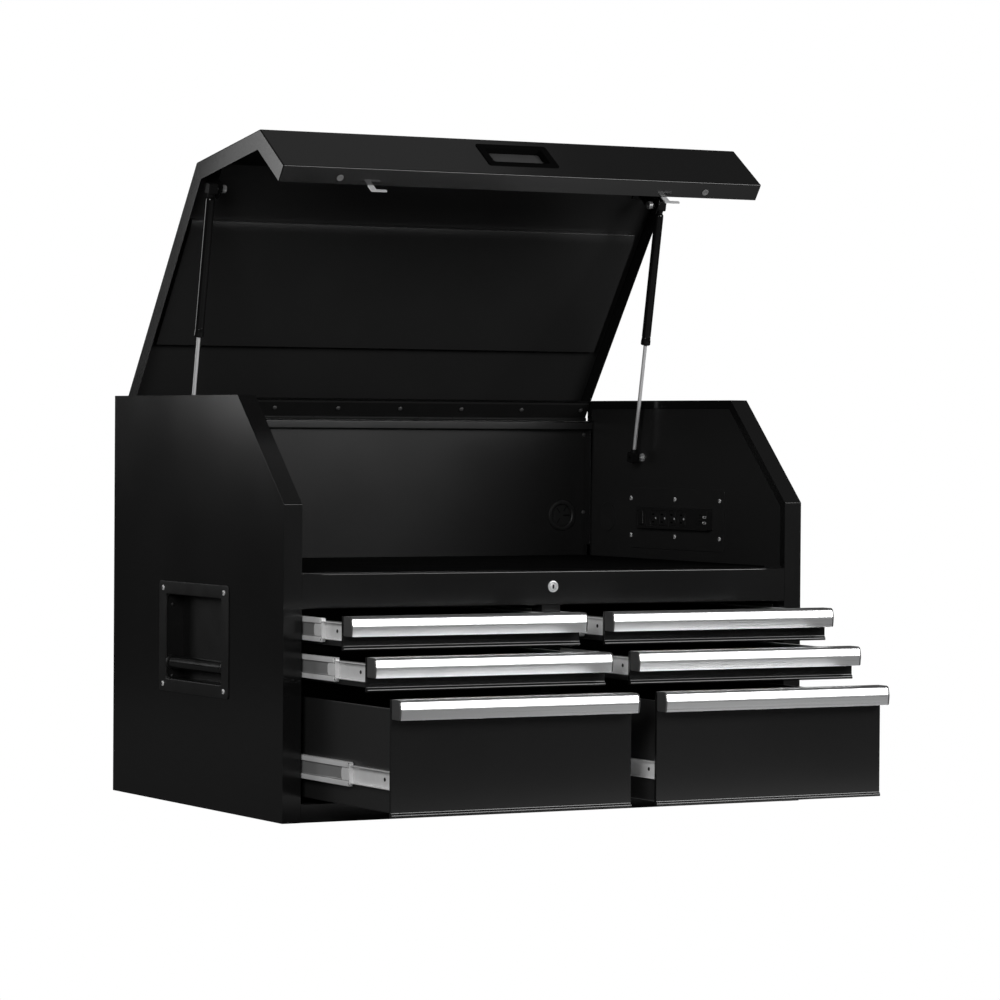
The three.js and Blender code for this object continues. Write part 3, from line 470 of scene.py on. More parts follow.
# Cabinet: folded sheets, from the frame's own solids with their folds and cut edges rounded
sheets = {
    "left_side_panel": "left_side_skin",
    "right_side_panel": "right_side_skin",
    "bottom_panel": "bottom_pan",
    "back_panel": "back_sheet",
    "front_rail": "front_rail_sheet",
}
for node, name in sheets.items():
    coat = litWallCoat if node == "back_panel" else blackCoat
    isSide = "side" in node
    sheet = cadCopy(node)
    if node == "front_rail":
        # the slots for the hooks stay open only when the face around them is split first
        bmesh.ops.connect_verts_concave(sheet, faces=sheet.faces)
    easeFolds(sheet, crossWidth=0.5 * mm if isSide else None)
    panel = addPiece(name, sheet, coat, "cabinet", (node,))
    if isSide:
        # upward faces high on the sides take the dull copy, which hides a softbox's reflection:
        # painted shade
        shadeFaces(panel, dullTopCoat, lambda face: face.normal.z > 0.9 and face.center.z > 0.6)
for node, name in (("left_side_liner", "left_lining"), ("right_side_liner", "right_lining")):
    addSheet(name, node, litInsideCoat)
print("cabinet sheets made")

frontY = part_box("front_rail")[0].y
dividerX = 16.2 * mm
postX = 426.2 * mm
postFold = {"foldWidth": 0.8 * mm, "cutWidth": 0.2 * mm, "clamp": True}

for side, hand in columns:
    posts = cadCopy(f"{side}_slide_frame")
    cutAway(posts, (hand * (postX + 0.01 * mm), 0, 0), (-hand, 0, 0))
    addPiece(f"{side}_posts", easeFolds(posts, **postFold), blackCoat, "cabinet",
             (f"{side}_slide_frame",))
divider = cadCopy("centre_divider")
for hand in (-1, 1):
    cutAway(divider, (hand * (dividerX - 0.01 * mm), 0, 0), (hand, 0, 0))
addPiece("divider_sheet", easeFolds(divider, **postFold), blackCoat, "cabinet",
         ("centre_divider",))

# Floor of the top compartment, with a flat mat in it
matSetup = metres(margin=4, radius=6, lift=0.3, steps=[(0, 1.6), (0.5, 0.2)])
addSheet("compartment_tray", "compartment_floor", blackCoat)
trayLow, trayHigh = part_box("compartment_floor")
trayMiddle = (trayLow + trayHigh) / 2
matHalf = (trayHigh - trayLow) / 2 - Vector((1, 1, 0)) * matSetup["margin"]
mat = plate(matHalf.x, matHalf.y, matSetup["radius"], matSetup["steps"],
            (trayMiddle.x, trayMiddle.y, trayHigh.z + matSetup["lift"]), (0, 0, 1), (0, 1, 0))
addPiece("floor_mat", mat, matRubber, "cabinet", ("compartment_mat",))

# Slides: three members each, drawn for a wall face on the left, u to the right and z up
slide = metres(
    depth=12.7, wall=1.1, bend=0.8, raceBand=7.5, stepIn=2.6, runnerGap=2.4, outerHeight=45,
    outerReach=10.2, outerSetBack=32, outerLength=534, middleHeight=35, middleStart=2.2,
    middleReach=11.2, setBack=8, innerHeight=26, innerStart=4.8, webGap=0.15, holeRadius=2.8,
    holeSetBack=25, holeDepth=1.5, holeDisc=0.3,
)
# the nylon end stop of a middle member, with a lip over the member's end
slideStop = metres(
    length=25, forward=1.5, steps=[(0, 0.55), (0.4, 0.25)], lipAcross=(-0.5, 6.5),
    lipAlong=(-1.5, 0.9), lipShort=1.4, lipEase=0.5,
)


def memberOutline(start, reach, height, step):
    # a C section whose web is stepped away from the wall between its two races
    half = height / 2
    band = slide["raceBand"]
    slope = step * 0.6
    return [(reach, -half), (start, -half), (start, -half + band),
            (start + step, -half + band + slope), (start + step, half - band - slope),
            (start, half - band), (start, half), (reach, half)]


def memberRun(outline, face, hand, z, y0, y1):
    # runs from y0 to y1 along a wall at x = face, opening towards hand
    start = (face, y1 if hand > 0 else y0, z)
    return sheetRun(outline, y1 - y0, slide["wall"], slide["bend"], (hand, 0, 0), (0, 0, 1),
                    start, 2)


def runnerFace(runner, hand):
    low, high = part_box(runner)
    return (low.x if hand > 0 else high.x) - hand * slide["runnerGap"]


def addSlides():
    outers = []
    start = frontY + slide["outerSetBack"]
    outline = memberOutline(0, slide["outerReach"], slide["outerHeight"], slide["stepIn"])
    for side, columnHand in columns:
        for row in rowNames:
            for place, hand in (("outboard", -columnHand), ("inboard", columnHand)):
                runner = f"{side}_{row}_{place}_runner"
                low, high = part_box(runner)
                face = runnerFace(runner, hand)
                z = (low.z + high.z) / 2
                end = start + slide["outerLength"]
                outers.append(memberRun(outline, face, hand, z, start, end))
                addRunner(runner, low, high, face, hand, z)
    addPiece("outer_slide_members", merged(outers), slideShade, "cabinet")


def addRunner(runner, low, high, face, hand, z):
    s = slideStop
    y0, y1 = low.y + slide["setBack"], high.y
    outline = memberOutline(slide["middleStart"], slide["middleReach"], slide["middleHeight"],
                            slide["stepIn"])
    tall = slide["middleHeight"] / 2
    half = tall - slide["raceBand"]
    member = addPiece(f"{runner}_member", memberRun(outline, face, hand, z, y0, y1), slideZinc,
                      runner, (runner,))
    # painted shade: the web between the races takes the darker zinc copy, for the shade in its
    # recess
    shadeFaces(member, slideShade, lambda face: abs(face.center.z - z) < half)
    # the stop sits in the web's recess, round at its front end
    stopFace = face + hand * (slide["middleStart"] + slide["stepIn"])
    stopAt = (stopFace, y0 + s["length"] / 2 - s["forward"], z)
    stop = plate(s["length"] / 2, half, half * 0.75, s["steps"], stopAt, (-hand, 0, 0),
                 (0, 0, 1), 8)
    low, high = zip(s["lipAcross"], s["lipAlong"], (s["lipShort"] - tall, tall - s["lipShort"]))
    lip = box(low, high, s["lipEase"], 2)
    lip.transform(Matrix.Scale(hand, 4, (1, 0, 0)))
    bmesh.ops.translate(lip, vec=(stopFace, y0, z), verts=lip.verts)
    addPiece(f"{runner}_stop", merged([stop, lip]), stopPlastic, runner)


addSlides()
print("slides made")

# Drawers
drawerSetup = metres(
    sheet=1.2, fold=1.6, frontThickness=5.5, floorRise=5.3, shallowHeight=36, deepHeight=150,
    hem=5, hemCorner=0.8, trayWall=1.0, flareForward=2.5, flareHeight=6, flareSlope=2,
    boxDepth=560, memberGap=0.3, memberShort=2,
)


def drawerFront(x0, x1, face, bottom, top):
    d = drawerSetup
    # the outline runs along x, with y to the right and z up
    outline = [(-d["flareForward"], 0), (d["frontThickness"], 0),
               (d["frontThickness"], top - bottom), (0, top - bottom), (0, d["flareHeight"]),
               (-d["flareForward"], d["flareHeight"] - d["flareSlope"])]
    return solidRun(outline, x1 - x0, d["fold"], (0, 1, 0), (0, 0, 1), (x0, face, bottom), 3,
                    d["fold"] * 0.5)


def drawerTray(x0, x1, y0, y1, low, high):
    d = drawerSetup
    bm = box((x0, y0, low), (x1, y1, high))
    lid = [f for f in bm.faces if f.normal.z > 0.9]
    bmesh.ops.delete(bm, geom=lid, context="FACES_ONLY")
    bevelEdges(bm, [e for e in bm.edges if len(e.link_faces) == 2], d["fold"], 3)
    rim = [e for e in bm.edges if e.is_boundary]
    made = bmesh.ops.extrude_edge_only(bm, edges=rim)["geom"]
    inner = [g for g in made if isinstance(g, bmesh.types.BMVert)]
    middle = Vector(((x0 + x1) / 2, (y0 + y1) / 2, high))
    shrink = (1 - 2 * d["hem"] / (x1 - x0), 1 - 2 * d["hem"] / (y1 - y0), 1)
    bmesh.ops.scale(bm, vec=shrink, verts=inner, space=Matrix.Translation(-middle))
    corner = [e for e in bm.edges if turns(e, cutAngle)
              and all(abs(v.co.z - high) < 0.01 * mm for v in e.verts)]
    bevelEdges(bm, corner, d["hemCorner"], 2)
    bmesh.ops.recalc_face_normals(bm, faces=bm.faces)
    bmesh.ops.solidify(bm, geom=bm.faces[:], thickness=d["trayWall"])
    return bm


def addDrawer(side, hand, row):
    d = drawerSetup
    name = f"{side}_{row}_drawer"
    low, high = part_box(name)
    pullLow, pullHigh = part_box(f"{side}_{row}_pull")
    face = low.y + d["flareForward"]
    front = drawerFront(pullLow.x, pullHigh.x, face, low.z, high.z)
    addPiece(f"{name}_front", front, blackCoat, name, (name,))
    trayLow = low.z + d["floorRise"]
    trayHigh = trayLow + (d["deepHeight"] if row == "bottom" else d["shallowHeight"])
    start = face + d["frontThickness"]
    end = face + d["frontThickness"] - d["sheet"] + d["boxDepth"]
    walls = []
    members = []
    holes = []
    for place, wallHand in (("outboard", -hand), ("inboard", hand)):
        runner = f"{side}_{row}_{place}_runner"
        runLow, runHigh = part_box(runner)
        z = (runLow.z + runHigh.z) / 2
        wall = runnerFace(runner, wallHand)
        walls.append(wall + wallHand * slide["depth"])
        members.append(drawerMember(wall, wallHand, z, start + d["memberGap"],
                                    end - d["memberShort"]))
        # painted shadow: a thin dark disc on the web stands for the hole
        web = wall + wallHand * (slide["depth"] - slide["holeDepth"])
        disc = [(0, 0), (slide["holeRadius"], 0), (slide["holeRadius"], slide["holeDisc"]),
                (0, slide["holeDisc"])]
        holes.append(turned(disc, (web, start + slide["holeSetBack"], z), (-wallHand, 0, 0), 16))
    walls.sort()
    tray = drawerTray(walls[0], walls[1], start, end, trayLow, trayHigh)
    addPiece(f"{name}_tray", tray, litInsideCoat, name, (name,))
    addPiece(f"{name}_slide_members", merged(members), slideZinc, name)
    addPiece(f"{name}_slide_holes", merged(holes), keyway, name)


def drawerMember(face, hand, z, y0, y1):
    # opens towards the wall, so its web lies on the drawer's side
    half = slide["innerHeight"] / 2
    web = slide["depth"] - slide["webGap"]
    outline = [(slide["innerStart"], half), (web, half), (web, -half), (slide["innerStart"], -half)]
    return memberRun(outline, face, hand, z, y0, y1)


for side, hand in columns:
    for row in rowNames:
        addDrawer(side, hand, row)
print("drawers made")

# Drawer pulls: a bent aluminium section, open below, with a plastic cap at each end
pullSetup = metres(wall=1.8, cap=2.6, capEase=0.5, cutEase=0.35, drawIn=2.4, bend=2.2)
# shares of the pull's reach and height
pullShares = {"top": 0.78, "corner": (0.90, 0.10), "nose": 0.50, "foot": 0.93}


def addPull(side, row):
    p = pullSetup
    name = f"{side}_{row}_pull"
    body = f"{side}_{row}_drawer"
    low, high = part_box(name)
    reach = high.y - low.y - p["drawIn"]
    tall = high.z - low.z
    top = (-reach * pullShares["top"], 0)
    corner = (-reach * pullShares["corner"][0], -tall * pullShares["corner"][1])
    nose = (-reach, -tall * pullShares["nose"])
    foot = (-reach * pullShares["foot"], -tall)
    # y to the right, z up: up the back plate, over the top and down the front
    outline = [(0, -tall), (0, 0), top, corner, nose, foot]
    length = high.x - low.x - 2 * p["cap"]
    start = (low.x + p["cap"], high.y, high.z)
    bar = sheetRun(outline[::-1], length, p["wall"], p["bend"], (0, 1, 0), (0, 0, 1), start, 4)
    bevelEdges(bar, [e for e in bar.edges if turns(e, cutAngle)], p["cutEase"], 2)
    addPiece(f"{name}_bar", bar, aluminium, body, (name,))
    caps = []
    for x in (low.x, high.x - p["cap"]):
        caps.append(solidRun([(0, -tall), foot, nose, corner, top, (0, 0)], p["cap"], p["bend"],
                             (0, 1, 0), (0, 0, 1), (x, high.y, high.z), 4, p["capEase"]))
    addPiece(f"{name}_caps", merged(caps), capPlastic, body)


for side, hand in columns:
    for row in rowNames:
        addPull(side, row)
print("pulls made")


def lofted(loops, point, normal, up=(0, 0, 1), segments=6):
    # rounded rectangles joined one to the next, each (halfWide, halfTall, radius, height), with no
    # two neighbours at one height
    bm = bmesh.new()
    rims = []
    for count, (halfWide, halfTall, radius, height) in enumerate(loops):
        face = roundedFace(bm, halfWide, halfTall, radius, segments, height)
        rims.append(face[0].edges[:])
        if 0 < count < len(loops) - 1:
            bmesh.ops.delete(bm, geom=face, context="FACES_ONLY")
    for one, other in zip(rims, rims[1:]):
        bmesh.ops.bridge_loops(bm, edges=one + other)
    bmesh.ops.recalc_face_normals(bm, faces=bm.faces)
    bm.transform(placing(point, normal, up))
    return bm


def screwSet(name, places, axis, scale, body):
    heads = []
    slots = []
    for place in places:
        head, cuts = screw(place, axis, scale)
        heads.append(head)
        slots.extend(cuts)
    addPiece(f"{name}_heads", merged(heads), slideZinc, body)
    addPiece(f"{name}_slots", merged(slots), keyway, body)


# Side handles: a flanged tub with a fixed bar across it
handle = metres(
    middle=(3, 259.5), plateBack=457.3, plate=(127, 86.5, 6), opening=(100.5, 66, 3), sheet=1.2,
    tubDepth=29.3, seam=-0.1,
    plateEdge=[(0, 0), (0, 0.8), (0.25, 1.25), (0.9, 1.5)],  # (drawn in, height)
    rim=[(2.2, 1.45), (0.7, 0.9), (0, -0.7)],  # (let out, height)
    barRadius=10.6, barEase=1, screwY=(-108, 114), screwZ=(184.4, 335), screwLift=1.5,
    bossRadius=12, bossSunk=0.5, bossLength=5, bossEase=1.2, rivetZ=(309, 225, 197),
    rivet=(3.2, 1.6),
)


def addHandle(side, hand):
    h = handle
    y, z = h["middle"]
    halfY, halfZ, radius = h["opening"]
    plateY, plateZ, plateRadius = h["plate"]
    outer = tuple(value + h["sheet"] for value in h["opening"])
    loops = [(*outer, -h["tubDepth"]), (*outer, h["seam"])]
    loops += [(plateY - drawIn, plateZ - drawIn, plateRadius, height)
              for drawIn, height in h["plateEdge"]]
    loops += [(halfY + out, halfZ + out, radius + out, height) for out, height in h["rim"]]
    loops.append((halfY, halfZ, radius, h["sheet"] - h["tubDepth"]))
    tub = lofted(loops, (hand * h["plateBack"], y, z), (hand, 0, 0))
    barLow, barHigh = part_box(f"{side}_handle_bar")
    bar = (barLow + barHigh) / 2
    wide, long, ease = h["bossRadius"], h["bossLength"], h["bossEase"]
    ring = [(0, -h["bossSunk"]), (wide, -h["bossSunk"]), (wide, long - ease), (wide - ease, long),
            (0, long)]
    bosses = [turned(ring, (bar.x, y + end * halfY, bar.z), (0, -end, 0), 28) for end in (-1, 1)]
    addPiece(f"{side}_handle_tub", merged([tub] + bosses), handlePlastic, "cabinet",
             (f"{side}_handle_recess",))
    profile = barProfile(h["barRadius"], barHigh.y - barLow.y, h["barEase"])
    rod = turned(profile, (bar.x, barLow.y, bar.z), (0, 1, 0), 32)
    addPiece(f"{side}_handle_grip", rod, enamel, "cabinet",
             (f"{side}_handle_bar",))
    face = hand * (h["plateBack"] + h["screwLift"])
    places = [(face, sy, sz) for sy in h["screwY"] for sz in h["screwZ"]]
    screwSet(f"{side}_handle_screw", places, (hand, 0, 0), 0.9, "cabinet")
    rivets = [rivet((bar.x, y + halfY, sz), (0, -1, 0), *h["rivet"]) for sz in h["rivetZ"]]
    addPiece(f"{side}_handle_rivets", merged(rivets), plastic, "cabinet")


for side, hand in columns:
    addHandle(side, hand)
print("side handles made")

# Cable grommet in the back panel: a ring with a slotted disc inside
grommet = metres(
    faceRise=2.5,
    ring=[(18.2, -4), (21.7, -4), (21.7, 0), (26, 0), (26, 1.2), (25.3, 2.1), (24, 2.5),
          (20.6, 2.5), (19.4, 2.0), (18.4, 0.6), (18.2, -4)],
    disc=[(0, -3), (18.2, -3), (18.2, -0.8), (17.6, -0.2), (0, -0.2)], slitReach=16, slitSunk=0.2,
    slitRise=(-0.4, 0.05),
    slits={0: (6.5, 1.5), 125: (5, 0.8), 232: (5, 0.9), 300: (4, 0.9)},  # by degrees, half sizes
)
grommetLow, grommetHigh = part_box("cable_grommet")
grommetAt = (grommetLow + grommetHigh) / 2
grommetAt.y = grommetLow.y + grommet["faceRise"]
grommetParts = [turned(grommet[name], grommetAt, (0, -1, 0), 48) for name in ("ring", "disc")]
addPiece("grommet_ring", merged(grommetParts), plastic, "cabinet",
         ("cable_grommet",))
# painted shadow: the slits are thin dark pads on the disc
slits = []
for angle, (halfLong, halfWide) in grommet["slits"].items():
    out = Matrix.Rotation(math.radians(angle), 3, "Y") @ Vector((1, 0, 0))
    loops = [(halfWide, halfLong, halfWide * 0.7, rise) for rise in grommet["slitRise"]]
    place = grommetAt + out * (grommet["slitReach"] - halfLong)
    place.y += grommet["slitSunk"]
    slits.append(lofted(loops, place, (0, -1, 0), out))
addPiece("grommet_slot", merged(slits), keyway, "cabinet")

# Lock: a bright ring, a turning plug with a key slot, and its cam behind the rail
lock = metres(
    faceRise=1.6,
    ring=[(5.6, -19.7), (7.6, -19.7), (7.6, 0), (9, 0), (9, 0.7), (8.7, 1.3), (8.1, 1.6),
          (6.6, 1.6), (6.1, 1.2), (5.8, 0.5), (5.8, -0.9), (5.6, -1), (5.6, -19.7)],
    plug=[(0, -22), (5.2, -22), (5.2, -1), (4.8, -1), (4.8, 0.7), (4.4, 1.1), (3.8, 1.3),
          (0, 1.3)],
    camHalf=4.5, camSheet=1.2, camEase=0.4, key=[(1.6, 3.4, 1, 0), (1.6, 3.4, 1, 0.3)],
    keyRise=1.12,
)
lockLow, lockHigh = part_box("lock_housing")
lockAt = (lockLow + lockHigh) / 2
lockAt.y = lockLow.y + lock["faceRise"]
addPiece("lock_ring", turned(lock["ring"], lockAt, (0, -1, 0), 40), chrome, "cabinet",
         ("lock_housing",))
camLow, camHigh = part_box("lock_plug")
cam = box((lockAt.x - lock["camHalf"], camHigh.y - lock["camSheet"], camLow.z), camHigh,
          lock["camEase"], 2)
plug = turned(lock["plug"], lockAt, (0, -1, 0), 32)
addPiece("lock_barrel", merged([plug, cam]), chrome, "lock_plug", ("lock_plug",))
# painted shadow: the key slot is a thin dark pad on the plug
key = lofted(lock["key"], lockAt - Vector((0, lock["keyRise"], 0)), (0, -1, 0))
addPiece("lock_key_slot", key, keyway, "lock_plug")

# Power strip on its plate, on the right inner wall
strip = metres(
    plateCorner=5,
    plateEdge=[(0, 0), (0, 0.7), (0.2, 1.05), (0.6, 1.2)],  # (drawn in, height)
    plateScrewY=(162.4, 22, -116.8), plateScrewZ=(473, 411), rimLength=4, rimEase=0.6,
    outletY=(72.7, 44.6, 14.2, -15.7),
    outlet=[(9.6, 11.8, 4, 0), (9.6, 11.8, 4, 0.8), (9.3, 11.5, 4, 1.1), (8.8, 11, 4, 1.2)],
    outletX=1.6, slot=[(3.6, 1.2, 0.3, 0), (3.6, 1.2, 0.3, 0.3)], slotAt=(0.65, 2.5, 6.3),
    contact=[(0, 0), (1.9, 0), (1.9, 0.3), (1.2, 0.3), (0, 0.3)], contactAt=(0.6, -6.2, 0),
    rocker=[(8.3, 11.3, 1, 0), (8.3, 11.3, 1, 2.6), (8, 11, 1, 3), (7.4, 10.4, 1, 3.2)],
    rockerAt=(2, 115, 0), ribX=(-0.5, 1), ribY=(98.6, 100.4), ribShort=3, ribEase=0.3,
    port=[(5, 1.7, 0.6, 0), (5, 1.7, 0.6, 1.6), (4.4, 1.1, 0.5, 1.5), (4.4, 1.1, 0.5, 0.6)],
    portAt=(1.1, -87, 4.8),
)
plateLow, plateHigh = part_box("power_strip_plate")
plateAt = (plateLow + plateHigh) / 2
plateHalf = (plateHigh - plateLow) / 2
plateLoops = [(plateHalf.y - drawIn, plateHalf.z - drawIn, strip["plateCorner"], height)
              for drawIn, height in strip["plateEdge"]]
addPiece("strip_backing", lofted(plateLoops, (plateHigh.x, plateAt.y, plateAt.z), (-1, 0, 0)),
         litInsideCoat, "cabinet", ("power_strip_plate",))
screwPlaces = [(plateLow.x, y, z) for y in strip["plateScrewY"] for z in strip["plateScrewZ"]]
screwSet("strip_screw", screwPlaces, (-1, 0, 0), 0.8, "cabinet")
stripCopy = cadCopy("power_strip")
rims = [e for e in stripCopy.edges
        if turns(e, cutAngle) and e.is_convex and e.calc_length() > strip["rimLength"]]
bevelEdges(stripCopy, rims, strip["rimEase"], 3)
addPiece("strip_body", stripCopy, plastic, "cabinet", ("power_strip",))
stripLow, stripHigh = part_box("power_strip")
stripAt = Vector((stripLow.x, 0, (stripLow.z + stripHigh.z) / 2))


def onStrip(offset, y=0, side=1):
    # a place on the strip's face; side turns the offset's last part up or down
    return stripAt + Vector((offset[0], offset[1] + y, offset[2] * side))


outlets = []
slots = []
contacts = []
for y in strip["outletY"]:
    outlets.append(lofted(strip["outlet"], onStrip((strip["outletX"], 0, 0), y), (-1, 0, 0)))
    for side in (-1, 1):
        slots.append(lofted(strip["slot"], onStrip(strip["slotAt"], y, side), (-1, 0, 0)))
    contacts.append(turned(strip["contact"], onStrip(strip["contactAt"], y), (-1, 0, 0), 16))
rocker = lofted(strip["rocker"], onStrip(strip["rockerAt"]), (-1, 0, 0))
ribLow, ribHigh = zip((stripLow.x + strip["ribX"][0], stripLow.x + strip["ribX"][1]), strip["ribY"],
                      (stripLow.z + strip["ribShort"], stripHigh.z - strip["ribShort"]))
rib = box(ribLow, ribHigh, strip["ribEase"], 2)
addPiece("strip_outlets", merged(outlets + [rocker, rib]), plastic, "cabinet")
# painted shadow: the outlet slots are thin pads of the near-black mat rubber
addPiece("strip_outlet_slots", merged(slots), matRubber, "cabinet")
ports = [lofted(strip["port"], onStrip(strip["portAt"], 0, side), (-1, 0, 0)) for side in (-1, 1)]
addPiece("strip_contacts", merged(ports + contacts), slideZinc, "cabinet")

cover = metres(
    middle=(427.9, 243, 440),
    profile=[(0, 0), (25, 0), (25, 0.5), (24.4, 0.9), (22.5, 0.9), (22, 0.6), (0, 0.6)],
)
addPiece("wall_cover", turned(cover["profile"], cover["middle"], (-1, 0, 0), 48), litInsideCoat,
         "cabinet")
print("lock, grommet and power strip made")

# Lid: drawn closed, then turned open about the hinge
hinge = next(row for row in frame["joints"] if row["name"] == "lid_hinge")
toHinge = Matrix.Translation(hinge["pos_m"])
hingeTurn = Matrix.Rotation(math.radians(hinge["range_deg"][0]), 4, Vector(hinge["axis"]))
closing = toHinge @ hingeTurn @ toHinge.inverted()
opening = closing.inverted()
lid = metres(
    low=372, fold=2.2, panFold=0.9, innerTop=600,
    rivetX=(-405.6, -289, -172.4, -55.8, 60.8, 177.4, 294, 410.6), rivetY=298, flangeLow=607.3,
    rivet=(3.8, 2),
)


def addLidPiece(name, bm, material, replaced=()):
    bm.transform(opening)
    return addPiece(name, bm, material, "lid", replaced)


shell = cadCopy("lid_shell", closing)
cutAway(shell, (0, 0, lid["low"] - 0.01 * mm), (0, 0, -1))
skin = addLidPiece("lid_skin", easeFolds(shell, lid["fold"]), blackCoat,
                   ("lid_shell",))
inward = opening.to_3x3() @ Vector((0, 0, -1))
# the skin's inward faces high in the lid take the lighter inside copy: painted light
shadeFaces(skin, litInsideCoat, lambda face: face.normal.dot(inward) > 0.9
           and (closing @ face.center).z > lid["innerTop"])
# the shut lid's upward faces take the dull copy, which hides a softbox's reflection: painted shade
shadeFaces(skin, dullTopCoat, lambda face: face.normal.dot(inward) < -0.9)
pan = easeFolds(cadCopy("lid_liner", closing), lid["panFold"])
addLidPiece("lid_pan", pan, litInsideCoat, ("lid_liner",))

# Catch hooks: an L in the lid's width, a leg down from the lip and a foot towards +X
hook = metres(
    x=261, back=-279.9, halfWidth=13.5, leg=10, foot=5, drop=16, root=1.2, sheet=2, corner=1.2,
    ease=0.25,
)
hooks = []
for hand in (-1, 1):
    left = hand * hook["x"] - hook["halfWidth"]
    right = left + hook["halfWidth"] * 2
    low = lid["low"] - hook["drop"]
    root = lid["low"] + hook["root"]
    outline = [(left, low), (right, low), (right, low + hook["foot"]),
               (left + hook["leg"], low + hook["foot"]), (left + hook["leg"], root), (left, root)]
    hooks.append(solidRun(outline, hook["sheet"], hook["corner"], (1, 0, 0), (0, 0, 1),
                          (0, hook["back"], 0), 2, hook["ease"]))
addLidPiece("lid_hooks", merged(hooks), zinc)

# Recessed pull
grip = metres(
    middle=(2, -311.3, 428),
    loops=[(51.2, 21.2, 5.2, -15.5), (51.2, 21.2, 5.2, -0.1), (62.5, 30, 4, 0),
           (62.5, 30, 4, 0.8), (62.2, 29.7, 4, 1.2), (61.7, 29.2, 4, 1.4), (52, 22, 5.5, 1.35),
           (50.5, 20.5, 4.5, 0.9), (50, 20, 4, -0.4), (50, 20, 4, -11.5), (49, 19, 4, -13.5),
           (47, 17, 4, -14.3)],
    floor=(47.5, 18, 2), floorDepth=9, floorSteps=[(0, 0.5), (0.3, 0.2)],
)
gripAt = Vector(grip["middle"])
addLidPiece("lid_grip", lofted(grip["loops"], gripAt, (0, -1, 0)), matRubber,
            ("lid_pull",))
gripFloor = plate(*grip["floor"], grip["floorSteps"],
                  gripAt + Vector((0, grip["floorDepth"], 0)), (0, -1, 0))
addLidPiece("lid_grip_floor", gripFloor, capPlastic)

buffer = metres(
    place=(325, -293, 371.7),
    profile=[(0, 0), (5.6, 0), (5.6, 0.5), (5, 1), (2.6, 1), (2, 0.7), (1.8, 0.1), (0, 0.1)],
)
for side, hand in columns:
    x, y, z = buffer["place"]
    addLidPiece(f"{side}_lid_stop", turned(buffer["profile"], (hand * x, y, z), (0, 0, -1), 28),
                paleRubber, (f"{side}_lid_buffer",))

rivets = [rivet((x, lid["rivetY"], lid["flangeLow"]), (0, 0, -1), *lid["rivet"])
          for x in lid["rivetX"]]
addLidPiece("lid_flange_rivets", merged(rivets), capPlastic)

# Upper strut studs: an angle bracket, a ball neck on its outboard side and a nut on the other
stud = metres(
    y=-128, z=594, outer=400, inner=398.4, skim=0.01, footX=(380, 398.5), footHalf=15,
    footZ=(633.9, 635.5), footEase=0.4, spacer=[(0, 0), (5.5, 0), (5.5, 6), (0, 6)],
    spacerLength=6,
    nut=[(0, 0), (6.6, 0), (6.6, 6), (5.9, 6.8), (3.4, 6.8), (3, 8), (2.2, 8.4), (0, 8.4)],
    neck=[(0, 0), (4.5, 0), (4.5, 1.2), (3.4, 2.2), (0, 2.2)],
)
for side, hand in columns:
    bracket = cadCopy(f"{side}_lid_stud", closing)
    cutAway(bracket, (hand * (stud["outer"] + stud["skim"]), 0, 0), (hand, 0, 0))
    cutAway(bracket, (hand * (stud["inner"] - stud["skim"]), 0, 0), (-hand, 0, 0))
    footLow, footHigh = zip(sorted(hand * x for x in stud["footX"]),
                            (stud["y"] - stud["footHalf"], stud["y"] + stud["footHalf"]),
                            stud["footZ"])
    foot = box(footLow, footHigh, stud["footEase"], 2)
    at = Vector((hand * stud["inner"], stud["y"], stud["z"]))
    spacer = turned(stud["spacer"], at, (-hand, 0, 0), 24)
    easeFolds(bracket, 0.5 * mm, 0.25 * mm, True)
    addLidPiece(f"{side}_lid_bracket", merged([bracket, foot, spacer]), blackCoat,
                (f"{side}_lid_stud",))
    nutAt = at - Vector((hand * stud["spacerLength"], 0, 0))
    nut = turned(stud["nut"], nutAt, (-hand, 0, 0), 24)
    neck = turned(stud["neck"], (hand * stud["outer"], stud["y"], stud["z"]), (hand, 0, 0), 24)
    addLidPiece(f"{side}_lid_nut", merged([nut, neck]), slideShade)
print("lid made")

# Piano hinge
leafFold = {"foldWidth": 0.3 * mm, "cutWidth": 0.2 * mm, "clamp": True}
hingeSetup = metres(
    shimDepth=10,
    shimZ=(3.64, 3.88),  # from the hinge line
    pinRadius=1.5, pinEase=0.4,
)
addSheet("hinge_lower_leaf", "hinge_cabinet_leaf", dullHingeCoat, **leafFold)
addSheet("hinge_upper_leaf", "hinge_lid_leaf", dullHingeCoat, "lid", **leafFold)
# painted shade: thin dark strips behind the leaves close the sight line past the knuckles, standing
# in for the shade in the gaps
leafLow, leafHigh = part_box("hinge_cabinet_leaf")
hingeY, hingeZ = hinge["pos_m"][1:]
near, far = hingeSetup["shimZ"]
shadeStripY = hingeY - hingeSetup["shimDepth"]
lower = box((leafLow.x, shadeStripY, hingeZ - far), (leafHigh.x, hingeY, hingeZ - near))
addPiece("hinge_lower_shim", lower, dullHingeCoat, "cabinet")
upper = box((leafLow.x, shadeStripY, hingeZ + near), (leafHigh.x, hingeY, hingeZ + far))
addLidPiece("hinge_upper_shim", upper, dullHingeCoat)
pinLow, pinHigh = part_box("hinge_pin")
pinAt = (pinLow + pinHigh) / 2
pin = barProfile(hingeSetup["pinRadius"], pinHigh.x - pinLow.x, hingeSetup["pinEase"])
addPiece("hinge_rod", turned(pin, (pinLow.x, pinAt.y, pinAt.z), (1, 0, 0), 16), dullHingeCoat,
         "cabinet", ("hinge_pin",))

